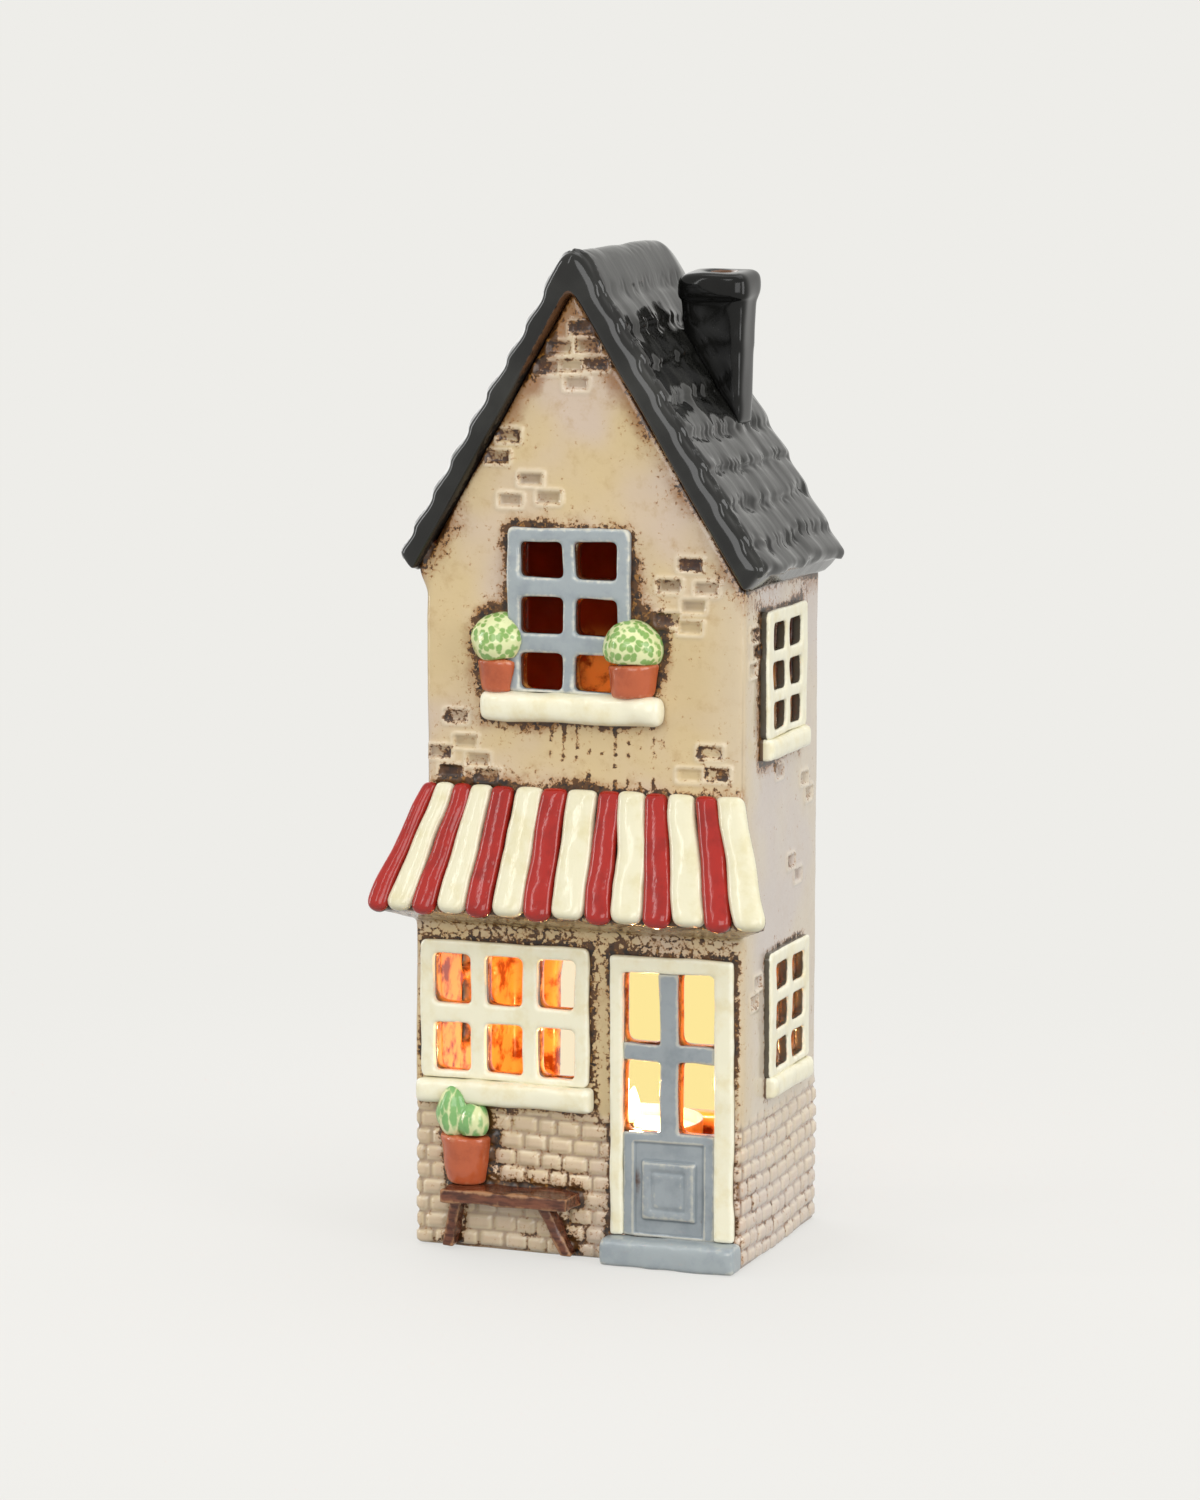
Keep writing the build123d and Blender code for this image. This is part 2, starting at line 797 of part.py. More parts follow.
lobe_root = short_lobe_radius / 2  # the leaves grow from inside the pot's mouth

with BuildSketch(front) as shop_window_block:
    with Locations((shop_centre, shop_foot - shop_sill_height / 2)):
        Rectangle(shop_width + 2 * shop_sill_overhang, shop_sill_height)
    shop_window.outline()

with BuildPart() as bench_plant:
    for shift, radius, height in (
        (tall_lobe_shift, tall_lobe_radius, tall_lobe_height),
        (short_lobe_shift, short_lobe_radius, short_lobe_height),
    ):
        across = bench_pot_across + shift
        profile = lobe_profile(across, plant_foot - lobe_root, radius, height + lobe_root)
        revolve(profile, axis=upright_axis(across, leaf_stand))
    split(bisect_by=front, keep=Keep.TOP)
    split(bisect_by=Plane.XY.offset(plant_foot), keep=Keep.TOP)
    extrude(shop_window_block.sketch, amount=sill_relief, mode=Mode.SUBTRACT)
finish(bench_plant, "bench_plant")

# Tealight, standing on the floor slab
tealight_y = front_y + wall_thickness + tealight_gap + cup_diameter / 2
cup_base = Plane(origin=(middle_x + tealight_across, tealight_y, floor_level))
wax_base = cup_base.offset(cup_gauge)
tab_top = tab_gauge + tab_collar_height
wick_length = wax_depth + wick_rise - tab_gauge

with BuildPart() as tealight_cup:
    with BuildSketch(cup_base):
        Circle(cup_diameter / 2)
    extrude(amount=cup_height)
    with BuildSketch(wax_base):
        Circle(cup_diameter / 2 - cup_gauge)
    extrude(amount=cup_height, mode=Mode.SUBTRACT)
finish(tealight_cup, "tealight_cup")

with BuildPart() as tealight_wax:
    with BuildSketch(wax_base):
        Circle(cup_diameter / 2 - cup_gauge - wax_clearance)
    extrude(amount=wax_depth)
    with BuildSketch(wax_base):
        Circle(tab_diameter / 2 + wick_clearance)
    extrude(amount=tab_gauge, mode=Mode.SUBTRACT)
    with BuildSketch(wax_base):
        Circle(tab_collar_diameter / 2 + wick_clearance)
    extrude(amount=tab_top, mode=Mode.SUBTRACT)
    with BuildSketch(wax_base):
        Circle(wick_diameter / 2 + wick_clearance)
    extrude(amount=wax_depth, mode=Mode.SUBTRACT)
finish(tealight_wax, "tealight_wax")

with BuildPart() as wick_tab:
    with BuildSketch(wax_base):
        Circle(tab_diameter / 2)
    extrude(amount=tab_gauge)
    with BuildSketch(wax_base):
        Circle(tab_collar_diameter / 2)
    extrude(amount=tab_top)
    with BuildSketch(wax_base.offset(tab_gauge)):
        Circle(wick_diameter / 2 + wick_clearance)
    extrude(amount=tab_top, mode=Mode.SUBTRACT)
finish(wick_tab, "wick_tab")

with BuildPart() as tealight_wick:
    with BuildSketch(wax_base.offset(tab_gauge)):
        Circle(wick_diameter / 2)
    extrude(amount=wick_length)
finish(tealight_wick, "tealight_wick")
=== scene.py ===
import json
import math

import bpy
import numpy as np
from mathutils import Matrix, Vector
from mathutils.bvhtree import BVHTree

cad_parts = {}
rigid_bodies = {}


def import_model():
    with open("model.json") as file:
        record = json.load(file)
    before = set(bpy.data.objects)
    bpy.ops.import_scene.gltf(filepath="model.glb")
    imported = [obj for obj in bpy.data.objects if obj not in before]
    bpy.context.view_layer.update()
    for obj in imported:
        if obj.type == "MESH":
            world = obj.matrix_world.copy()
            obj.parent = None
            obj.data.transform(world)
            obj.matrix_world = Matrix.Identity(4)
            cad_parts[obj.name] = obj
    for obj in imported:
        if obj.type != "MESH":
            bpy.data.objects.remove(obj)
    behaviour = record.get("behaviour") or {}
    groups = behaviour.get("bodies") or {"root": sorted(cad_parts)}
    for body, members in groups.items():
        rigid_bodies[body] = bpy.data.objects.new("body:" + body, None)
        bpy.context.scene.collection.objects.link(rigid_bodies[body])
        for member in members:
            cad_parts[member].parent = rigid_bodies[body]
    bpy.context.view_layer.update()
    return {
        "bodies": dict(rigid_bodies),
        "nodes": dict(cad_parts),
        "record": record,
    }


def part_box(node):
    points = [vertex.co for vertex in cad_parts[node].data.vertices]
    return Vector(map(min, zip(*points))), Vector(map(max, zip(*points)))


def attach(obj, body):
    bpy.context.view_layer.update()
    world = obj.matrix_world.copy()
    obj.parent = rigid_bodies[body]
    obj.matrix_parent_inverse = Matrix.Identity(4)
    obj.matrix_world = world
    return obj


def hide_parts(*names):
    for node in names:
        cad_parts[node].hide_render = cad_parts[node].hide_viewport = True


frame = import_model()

# Shapes are worked out in millimetres from the middle of the walls, on the ground:
# X to the right, Y to the back, Z up. The frame itself is in metres.
MM = 0.001
slab_low, slab_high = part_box("floor_slab")
CENTRE = np.array([(slab_low.x + slab_high.x) / 2, (slab_low.y + slab_high.y) / 2, 0.0])
HALF_WIDTH = (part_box("right_wall")[1].x - CENTRE[0]) / MM
HALF_DEPTH = (CENTRE[1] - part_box("front_wall")[0].y) / MM
LEFT_SETBACK = 3.5  # the upper left wall stands in by this much
SETBACK_HEIGHTS = (92, 118)  # where it draws in
GABLE_PEAK = (-1.0, 249.8)  # across and up, like the eaves
LEFT_EAVE = (LEFT_SETBACK - HALF_WIDTH, 180.8)
RIGHT_EAVE = (HALF_WIDTH, 175.0)
COARSE = 1.0  # a coarser mesh while trying things

HOUSE_NODES = frame["record"]["behaviour"]["bodies"]["house"]
SHELL_NODES = ["front_wall", "rear_wall", "left_wall", "right_wall", "floor_slab", "awning_backing"]
ROOF_NODES = ["roof_left", "roof_right", "ridge_roll"]
CHIMNEY_NODES = ["chimney_stack", "chimney_rim"]


# Arithmetic on arrays
def step(low, high, x):
    """From 0 at low to 1 at high, with soft ends."""
    t = np.clip((x - low) / (high - low), 0, 1)
    return t * t * (3 - 2 * t)


def bell(x, width):
    """1 at 0, falling off to both sides over a width."""
    return np.exp(-((x / width) ** 2))


def lattice(i, j, k, seed):
    """A fixed random number from 0 to 1 for each point of a grid, by a hash with large primes."""
    h = (i * 73856093) ^ (j * 19349663) ^ (k * 83492791) ^ (seed * 2654435761)
    h = ((h ^ (h >> 13)) * 1274126177) & 0x7FFFFFFF
    return ((h ^ (h >> 16)) & 0xFFFF) / 0xFFFF


def noise(points, size, seed=0):
    """Smooth noise from -1 to 1, with features of a size in mm, or of a size along each axis."""
    q = points / np.asarray(size)
    base = np.floor(q).astype(np.int64)
    f = q - base
    f = f * f * (3 - 2 * f)
    total = np.zeros(len(points))
    for dx in (0, 1):
        for dy in (0, 1):
            for dz in (0, 1):
                weight = np.abs(1 - dx - f[:, 0]) * np.abs(1 - dy - f[:, 1]) * np.abs(1 - dz - f[:, 2])
                total += weight * lattice(base[:, 0] + dx, base[:, 1] + dy, base[:, 2] + dz, seed)
    return 2 * total - 1


# Pieces
ON_PLANE = 0.02  # points this near a plane lie on it, in mm
SINK = 0.9  # how far an applied piece goes into what it sits on, in mm


def new_object(name, data):
    """An object in the scene."""
    made = bpy.data.objects.new(name, data)
    bpy.context.scene.collection.objects.link(made)
    return made


def cad_mesh(nodes):
    """Points in mm and triangles of CAD nodes put together."""
    points, triangles, start = [], [], 0
    for node in nodes:
        mesh = frame["nodes"][node].data
        place = np.empty(len(mesh.vertices) * 3, np.float32)
        mesh.vertices.foreach_get("co", place)
        mesh.calc_loop_triangles()
        corner = np.empty(len(mesh.loop_triangles) * 3, np.int32)
        mesh.loop_triangles.foreach_get("vertices", corner)
        points.append((place.reshape(-1, 3) - CENTRE) / MM)
        triangles.append(corner.reshape(-1, 3) + start)
        start += len(mesh.vertices)
    return np.concatenate(points), np.concatenate(triangles)


def sunk(points, on, out):
    """Points with those on a plane moved in behind it, so that a piece grows out of what it sits on."""
    normal = np.array(out) / np.linalg.norm(out)
    behind = np.abs((points - np.array(on)) @ normal) < ON_PLANE
    moved = points.copy()
    moved[behind] -= normal * SINK
    return moved


class Clay:
    """A piece's surface while it is shaped: a fine even mesh around one or more CAD nodes."""

    def __init__(self, name, nodes, voxel, on=None, out=None):
        """Start from nodes, with a mesh width in mm. An applied piece sits on a plane and faces out."""
        self.nodes = nodes
        self.on = on
        self.out = out
        self.voxel = voxel * COARSE
        points, triangles = cad_mesh(nodes)
        if on is not None:
            points = sunk(points, on, out)
        mesh = bpy.data.meshes.new(name)
        mesh.from_pydata((points * MM + CENTRE).tolist(), [], triangles.tolist())
        rough = new_object(name + "_rough", mesh)
        remesh = rough.modifiers.new("even", "REMESH")
        remesh.mode = "VOXEL"
        remesh.voxel_size = self.voxel * MM
        evaluated = rough.evaluated_get(bpy.context.evaluated_depsgraph_get())
        self.mesh = bpy.data.meshes.new_from_object(evaluated)
        bpy.data.objects.remove(rough)
        self.object = new_object(name, self.mesh)
        place = np.empty(len(self.mesh.vertices) * 3, np.float32)
        self.mesh.vertices.foreach_get("co", place)
        self.p = (place.reshape(-1, 3).astype(float) - CENTRE) / MM
        edges = np.empty(len(self.mesh.edges) * 2, np.int32)
        self.mesh.edges.foreach_get("vertices", edges)
        self.a, self.b = edges.reshape(-1, 2).T
        self.count = np.bincount(np.concatenate([self.a, self.b]), minlength=len(self.p))

    def spread(self, values):
        """The mean of each point's neighbours."""
        to = np.concatenate([self.a, self.b])
        come = np.concatenate([self.b, self.a])
        return np.bincount(to, weights=values[come], minlength=len(values)) / np.maximum(self.count, 1)

    def neighbours(self):
        """The mean place of each point's neighbours."""
        return np.stack([self.spread(self.p[:, k]) for k in range(3)], 1)

    def smooth(self, millimetres, where=1.0):
        """Round the edges over about this distance, everywhere or by a share for each point."""
        share = 0.5 * np.broadcast_to(where, len(self.p))[:, None]
        for _ in range(max(1, round((millimetres / self.voxel) ** 2 * 2))):
            self.p += share * (self.neighbours() - self.p)

    def write(self):
        """Put the points into the mesh."""
        self.mesh.vertices.foreach_set("co", (self.p * MM + CENTRE).astype(np.float32).ravel())
        self.mesh.update()

    def normals(self):
        """The direction out of the surface at each point."""
        self.write()
        n = np.empty(len(self.p) * 3, np.float32)
        self.mesh.vertex_normals.foreach_get("vector", n)
        return n.reshape(-1, 3).astype(float)

    def push(self, amount):
        """Move the surface out along its normals, in mm."""
        self.p += self.normals() * np.asarray(amount)[:, None]

    def wobble(self, amount, size, seed):
        """Bend the piece a little, as hand-shaped clay is."""
        self.p += amount * np.stack([noise(self.p, size, seed + k) for k in range(3)], 1)

    def put(self, name, values):
        """Keep a value for each point, for the material."""
        kept = self.mesh.attributes.new(name, "FLOAT", "POINT")
        kept.data.foreach_set("value", np.asarray(values, np.float32))

    def put_edges(self, root=1.0):
        """Keep how far each point stands out from its neighbours (edges above 0, hollows below), and the
        foot of the piece, up to a height above what it sits on."""
        bend = ((self.p - self.neighbours()) * self.normals()).sum(1) / self.voxel**2
        for _ in range(3):
            bend = 0.5 * bend + 0.5 * self.spread(bend)
        self.put("edge", np.clip(bend, -1, 1))
        if self.on is not None:
            rise = (self.p - np.array(self.on)) @ (np.array(self.out) / np.linalg.norm(self.out))
            self.put("root", step(root, 0.5 * root, rise))

    def finish(self, material):
        """Hand the piece over, in place of its CAD nodes."""
        self.write()
        self.mesh.shade_smooth()
        self.mesh.materials.clear()
        self.mesh.materials.append(material)
        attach(self.object, "house")
        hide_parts(*self.nodes)


def distance_to(points, nodes, reach, where):
    """Distance in mm from chosen points to CAD nodes, and reach for the rest."""
    corners, triangles = cad_mesh(nodes)
    tree = BVHTree.FromPolygons(corners.tolist(), triangles.tolist())
    found = np.full(len(points), float(reach))
    for index in np.flatnonzero(where):
        distance = tree.find_nearest(points[index], reach)[3]
        if distance is not None:
            found[index] = distance
    return found


# Materials
def srgb(red, green, blue):
    """A colour as seen on screen, from 0 to 255, as Blender takes it."""
    parts = [c / 255 for c in (red, green, blue)]
    return tuple(c / 12.92 if c <= 0.04045 else ((c + 0.055) / 1.055) ** 2.4 for c in parts) + (1.0,)


class Nodes:
    """The nodes of a material or a world, joined by sockets."""

    def __init__(self, owner):
        owner.use_nodes = True
        self.nodes = owner.node_tree.nodes
        self.links = owner.node_tree.links

    def feed(self, socket, value):
        """Link a socket to another one, or give it a value."""
        if isinstance(value, bpy.types.NodeSocket):
            self.links.new(value, socket)
        else:
            socket.default_value = value

    def node(self, kind, inputs, **settings):
        """A new node with its inputs fed."""
        made = self.nodes.new(kind)
        for key, value in settings.items():
            setattr(made, key, value)
        for key, value in inputs.items():
            self.feed(made.inputs[key], value)
        return made

    def math(self, operation, first, second):
        return self.node("ShaderNodeMath", {0: first, 1: second}, operation=operation).outputs[0]

    def plus(self, first, second):
        return self.math("ADD", first, second)

    def times(self, first, second):
        return self.math("MULTIPLY", first, second)

    def step(self, value, low, high):
        """From 0 at low to 1 at high, with soft ends."""
        inputs = {"Value": value, "From Min": low, "From Max": high}
        return self.node("ShaderNodeMapRange", inputs, interpolation_type="SMOOTHSTEP").outputs["Result"]

    def mix(self, share, first, second):
        """From one colour to another by a share. The node's colours are its inputs 6 and 7."""
        return self.node("ShaderNodeMix", {0: share, 6: first, 7: second}, data_type="RGBA").outputs[2]

    def blend(self, share, first, second):
        """From one shader to another by a share."""
        return self.node("ShaderNodeMixShader", {0: share, 1: first, 2: second}).outputs[0]

    def coordinates(self):
        """The place on the object, in metres."""
        return self.node("ShaderNodeTexCoord", {}).outputs["Object"]

    def axis(self, place, name):
        """A place's distance along one axis, in metres."""
        return self.node("ShaderNodeSeparateXYZ", {"Vector": place}).outputs[name]


class Paint(Nodes):
    """A material around a Principled shader."""

    def __init__(self, name):
        self.material = bpy.data.materials.new(name)
        super().__init__(self.material)
        self.shader = self.nodes["Principled BSDF"]
        self.place = self.coordinates()

    def value(self, name):
        """A value kept for each point of the mesh."""
        return self.node("ShaderNodeAttribute", {}, attribute_name=name).outputs["Fac"]

    def stretched(self, **settings):
        """The place, scaled or turned."""
        return self.node("ShaderNodeMapping", {"Vector": self.place, **settings}).outputs["Vector"]

    def noise(self, size, detail=3.0, roughness=0.55, place=None):
        """Noise from about 0 to 1, with features of a size in mm."""
        inputs = {"Scale": 1 / (size * MM), "Detail": detail, "Roughness": roughness}
        return self.node("ShaderNodeTexNoise", {**inputs, "Vector": place or self.place}).outputs["Fac"]

    def cells(self, size, feature="F1", place=None):
        """Distance within cells of a size in mm."""
        inputs = {"Scale": 1 / (size * MM), "Vector": place or self.place}
        return self.node("ShaderNodeTexVoronoi", inputs, feature=feature).outputs["Distance"]

    def varied(self, value, noise, amount):
        """A value made uneven by noise, up or down."""
        return self.plus(value, self.times(self.math("SUBTRACT", noise, 0.5), amount))

    def bump(self, height, distance, strength):
        """Fine relief up to a distance in mm."""
        inputs = {"Height": height, "Distance": distance * MM, "Strength": strength}
        self.feed(self.shader.inputs["Normal"], self.node("ShaderNodeBump", inputs).outputs["Normal"])

    def done(self, colour, roughness, **sockets):
        """The material, with these values on the shader. A socket's name is written with underscores."""
        self.feed(self.shader.inputs["Base Color"], colour)
        self.feed(self.shader.inputs["Roughness"], roughness)
        for key, value in sockets.items():
            self.feed(self.shader.inputs[key.replace("_", " ")], value)
        return self.material


GLOSS = 0.1  # roughness of a shiny glaze


def wall_glaze():
    """Cream glaze, mauve in places, which breaks brown round applied pieces and is amber inside; with
    painted contact shade round the pieces, painted highlights on brick rims, and painted shade in the
    openings and inside.
    """
    g = Paint("wall_glaze")
    patch = g.noise(34, 2.0, 0.5)
    side = g.value("side")
    warm = g.mix(g.step(patch, 0.46, 0.68), srgb(207, 184, 140), srgb(204, 184, 163))
    cool = g.mix(g.step(patch, 0.36, 0.60), srgb(205, 192, 172), srgb(199, 187, 177))
    colour = g.mix(side, warm, cool)
    # freckles, fewer on the sides, and brown stain
    mottle = g.noise(5.5, 5.0, 0.65)
    freckle = g.math("SUBTRACT", 0.55, g.times(side, 0.4))
    colour = g.mix(g.times(g.step(mottle, 0.5, 0.8), freckle), colour, srgb(176, 140, 92))
    stain = g.varied(g.value("stain"), mottle, 0.8)
    colour = g.mix(g.times(g.step(stain, 0.15, 0.9), 0.75), colour, srgb(142, 90, 42))
    # bricks, with pale rims that are partly thin glaze and partly painted highlight
    colour = g.mix(g.times(g.value("brick"), 0.6), colour, srgb(210, 188, 166))
    colour = g.mix(g.times(g.value("mortar"), 0.7), colour, srgb(164, 142, 128))
    colour = g.mix(g.times(g.value("pale"), 0.8), colour, srgb(230, 217, 192))
    # pools of dark glaze with a thin golden edge, and a net of cracks; at contacts with pieces and the roof
    # the pools also hold painted shade
    level = g.plus(g.times(g.noise(1.1, 3.0, 0.65), 1.9), g.times(g.noise(4.0, 3.0, 0.6), 0.8))
    level = g.plus(level, g.value("pool_and_shade"))
    net = g.step(g.cells(2.3, "DISTANCE_TO_EDGE"), 0.2, 0.05)
    level = g.plus(level, g.times(net, g.value("crackle")))
    thin = g.step(level, 1.62, 1.86)
    dark = g.step(level, 1.82, 1.96)
    colour = g.mix(g.times(thin, 0.55), colour, srgb(164, 106, 42))
    brown = g.mix(g.step(g.noise(2.2), 0.38, 0.62), srgb(32, 18, 6), srgb(84, 52, 18))
    brown = g.mix(g.step(g.noise(1.3), 0.56, 0.70), brown, srgb(146, 100, 42))
    colour = g.mix(dark, colour, brown)
    # the sides of the openings in dark brown, a painted shade; the inside amber, its dark patches partly
    # painted shade, with painted shade above and on the upper left
    reveal = g.mix(g.step(g.noise(3), 0.4, 0.6), srgb(58, 31, 15), srgb(26, 14, 8))
    colour = g.mix(g.value("reveal"), colour, reveal)
    across = g.axis(g.place, "X")
    up = g.axis(g.place, "Z")
    left = g.times(g.step(across, -0.018, -0.026), g.step(up, 0.118, 0.130))
    unlit = g.math("MAXIMUM", left, g.step(up, 0.147, 0.160))
    amber = g.mix(g.step(g.noise(7, 4.0, 0.6), 0.45, 0.62), srgb(244, 168, 84), srgb(128, 54, 15))
    amber = g.mix(unlit, amber, g.mix(g.noise(6), srgb(120, 44, 16), srgb(86, 28, 10)))
    colour = g.mix(g.value("inside"), colour, amber)
    g.bump(g.noise(2.4), 0.25, 0.35)
    roughness = g.plus(0.13, g.times(dark, 0.15))
    return g.done(colour, roughness, Specular_IOR_Level=0.5)


def charcoal(name, dark, light, relief, shine):
    """A black gloss that thins to brown on edges."""
    g = Paint(name)
    along = g.node("ShaderNodeCombineXYZ", {"X": g.value("across"), "Y": g.value("down")}).outputs["Vector"]
    streak = g.node("ShaderNodeTexNoise", {"Scale": 1.0, "Detail": 4.0, "Vector": along}).outputs["Fac"]
    colour = g.mix(g.step(streak, 0.42, 0.72), dark, light)
    thin = g.varied(g.value("thin"), g.noise(4, 4.0), 1.1)
    colour = g.mix(g.step(thin, 0.45, 0.85), colour, srgb(92, 62, 40))
    g.bump(streak, relief, 0.35)
    return g.done(colour, GLOSS, Specular_IOR_Level=shine)


def painted(name, main, pooled, thin_glaze_and_highlight, edge_share, foot=srgb(84, 52, 32)):
    """A coloured glaze that pools darker in hollows, breaks paler on edges (partly thin glaze, partly
    painted highlight) and ends in a dark foot (partly brown glaze, partly painted shade).
    """
    g = Paint(name)
    edge = g.value("edge")
    cloud = g.noise(6.0, 4.0, 0.6)
    colour = g.mix(g.times(g.step(cloud, 0.42, 0.75), 0.6), main, pooled)
    hollow = g.varied(g.times(edge, -1.0), cloud, 0.3)
    colour = g.mix(g.times(g.step(hollow, 0.05, 0.3), 0.8), colour, pooled)
    # pale edges: partly thin glaze, partly painted highlight
    ridge = g.varied(edge, g.noise(1.6), 0.35)
    colour = g.mix(g.times(g.step(ridge, 0.08, 0.26), edge_share), colour, thin_glaze_and_highlight)
    # dark foot: partly brown glaze, partly painted shade where the piece meets what it sits on
    root = g.varied(g.value("root"), g.noise(2.4), 0.6)
    colour = g.mix(g.times(g.step(root, 0.4, 0.8), 0.9), colour, foot)
    g.bump(g.noise(2.0, 2.0), 0.2, 0.25)
    return g.done(colour, GLOSS, Specular_IOR_Level=0.5)


def leaves(name, size, stretch, deep, fresh):
    """Green dabs of a size in mm on a pale ground."""
    g = Paint(name)
    bent = g.node("ShaderNodeTexNoise", {"Scale": 350.0, "Vector": g.place}).outputs["Color"]
    bent = g.node("ShaderNodeVectorMath", {0: bent, "Scale": 1.6 * MM}, operation="SCALE").outputs["Vector"]
    scaled = g.stretched(Scale=stretch)
    warped = g.node("ShaderNodeVectorMath", {0: scaled, 1: bent}, operation="ADD").outputs["Vector"]
    ground = g.mix(g.noise(5), srgb(212, 220, 160), srgb(228, 230, 180))
    green = g.mix(g.noise(3), deep, fresh)
    dab = g.plus(g.cells(size, "F1", warped), g.times(g.noise(1.2, 2.0), 0.16))
    colour = g.mix(g.step(dab, 0.70, 0.48), ground, green)
    # darker green at the foot: partly glaze, partly painted shade where the piece meets what it sits on
    colour = g.mix(g.times(g.value("root"), 0.6), colour, deep)
    g.bump(g.noise(1.5, 2.0), 0.2, 0.25)
    return g.done(colour, GLOSS, Specular_IOR_Level=0.5)


def brown_glaze():
    """Dark brown with a grain along the plank and rubbed, paler edges."""
    g = Paint("brown_glaze")
    grain = g.noise(1.3, 4.0, 0.6, g.stretched(Scale=(0.22, 1.0, 1.0)))
    colour = g.mix(g.step(grain, 0.35, 0.7), srgb(70, 34, 20), srgb(118, 68, 45))
    ridge = g.varied(g.value("edge"), g.noise(2.0), 0.5)
    colour = g.mix(g.times(g.step(ridge, 0.06, 0.26), 0.75), colour, srgb(172, 126, 86))
    g.bump(grain, 0.3, 0.4)
    return g.done(colour, 0.2, Specular_IOR_Level=0.5)


def metal():
    """Thin pressed sheet, streaked from top to bottom."""
    g = Paint("cup_metal")
    streaks = g.noise(1.0, 3.0, 0.6, g.stretched(Scale=(1.0, 1.0, 0.05)))
    colour = g.mix(streaks, srgb(206, 206, 204), srgb(232, 232, 230))
    roughness = g.plus(0.25, g.times(g.noise(3), 0.15))
    return g.done(colour, roughness, Metallic=1.0)


def candle_wax():
    """White wax that glows a little from the flame above it."""
    g = Paint("wax")
    colour = g.mix(g.noise(6), srgb(246, 236, 206), srgb(252, 246, 226))
    g.bump(g.noise(4, 2.0), 0.2, 0.3)
    glow = g.mix(g.noise(9, 2.0), srgb(255, 196, 112), srgb(255, 220, 150))
    return g.done(colour, 0.35, Subsurface_Weight=0.2, Emission_Color=glow, Emission_Strength=0.35)


def cotton():
    """A charred, twisted wick."""
    g = Paint("wick")
    twist = g.noise(0.6, 3.0, 0.6, g.stretched(Rotation=(0.0, 0.6, 0.0)))
    colour = g.mix(g.step(twist, 0.4, 0.6), srgb(38, 30, 26), srgb(96, 84, 72))
    return g.done(colour, 0.85)


def fire():
    """Orange at the foot, pale above."""
    g = Paint("flame")
    colour = g.mix(g.step(g.axis(g.place, "Z"), 0.030, 0.040), srgb(255, 190, 92), srgb(255, 236, 178))
    return g.done(colour, 0.6, Emission_Color=colour, Emission_Strength=6.0)


# each glaze: main colour, colour pooled in hollows, and pale edge colour, which is partly a painted
# highlight
CREAM = (srgb(235, 230, 203), srgb(222, 208, 160), srgb(243, 240, 222))
STRIPE_CREAM = (srgb(222, 216, 186), srgb(208, 197, 150), srgb(232, 228, 206))
RED = (srgb(162, 28, 18), srgb(120, 12, 6), srgb(122, 30, 20))
BLUE = (srgb(158, 166, 168), srgb(134, 143, 149), srgb(214, 211, 194))
DOOR_BLUE = (srgb(148, 155, 158), srgb(121, 130, 135), srgb(198, 194, 178))
TERRACOTTA = (srgb(186, 92, 54), srgb(148, 62, 32), srgb(214, 146, 108))

WALL_GLAZE = wall_glaze()
ROOF_GLAZE = charcoal("roof_glaze", srgb(20, 20, 18), srgb(44, 44, 41), relief=0.35, shine=0.45)
CHIMNEY_GLAZE = charcoal("chimney_glaze", srgb(10, 10, 9), srgb(20, 20, 18), relief=0.1, shine=0.28)
RED_GLAZE = painted("red_glaze", *RED, edge_share=0.4)
CREAM_GLAZE = painted("cream_glaze", *CREAM, edge_share=0.6)
# the side frames' darker foot is partly brown glaze and partly painted shade
SIDE_GLAZE = painted("side_frame_glaze", *CREAM, edge_share=0.6, foot=srgb(36, 20, 12))
STRIPE_GLAZE = painted("stripe_glaze", *STRIPE_CREAM, edge_share=0.6)
BLUE_GLAZE = painted("blue_glaze", *BLUE, edge_share=0.85)
DOOR_GLAZE = painted("door_glaze", *DOOR_BLUE, edge_share=0.6)
POT_GLAZE = painted("terracotta_glaze", *TERRACOTTA, edge_share=0.75)
SHRUB_GLAZE = leaves("shrub_glaze", 1.8, (1.0, 1.0, 1.0), srgb(106, 152, 74), srgb(160, 192, 112))
PLANT_GLAZE = leaves("plant_glaze", 3.2, (1.5, 1.0, 0.5), srgb(96, 156, 90), srgb(150, 194, 120))
BENCH_GLAZE = brown_glaze()

# Bricks
BRICK_LENGTH, BRICK_HEIGHT = 6.5, 4.5  # with the joint
BRICK_TOP = 38.6  # the bricks round the foot end about here
BRICK_CORNER = 1.3
JOINT_SHIFT = 0.3  # how far upright joints stray, as a share of a brick
ROW_SHIFT = 0.3  # and whole rows
LOOSE_LENGTH, LOOSE_HEIGHT, LOOSE_CORNER = 7.2, 4.0, 0.7  # of a single brick


def brick_wall(u, z, seed):
    """How far a place lies inside its brick, in mm, and a fixed random number of that brick."""
    level = z / BRICK_HEIGHT + 0.12 * np.sin(u / 9 + seed)
    row = np.floor(level).astype(np.int64)
    zero = np.zeros_like(row)
    run = u / BRICK_LENGTH + 0.5 * (row % 2) + ROW_SHIFT * lattice(row, zero, zero + 3, seed)
    column = np.floor(run).astype(np.int64)

    def joint(column):
        """Where a brick begins."""
        return column + JOINT_SHIFT * lattice(row, column, zero, seed) - JOINT_SHIFT / 2

    column = column - (run < joint(column)) + (run > joint(column + 1))
    du = np.minimum(run - joint(column), joint(column + 1) - run) * BRICK_LENGTH
    dv = np.minimum(level - row, row + 1 - level) * BRICK_HEIGHT
    deep = BRICK_CORNER - np.hypot(np.maximum(BRICK_CORNER - du, 0), np.maximum(BRICK_CORNER - dv, 0))
    return np.minimum(deep, np.minimum(du, dv)), lattice(row, column, zero + 7, seed)


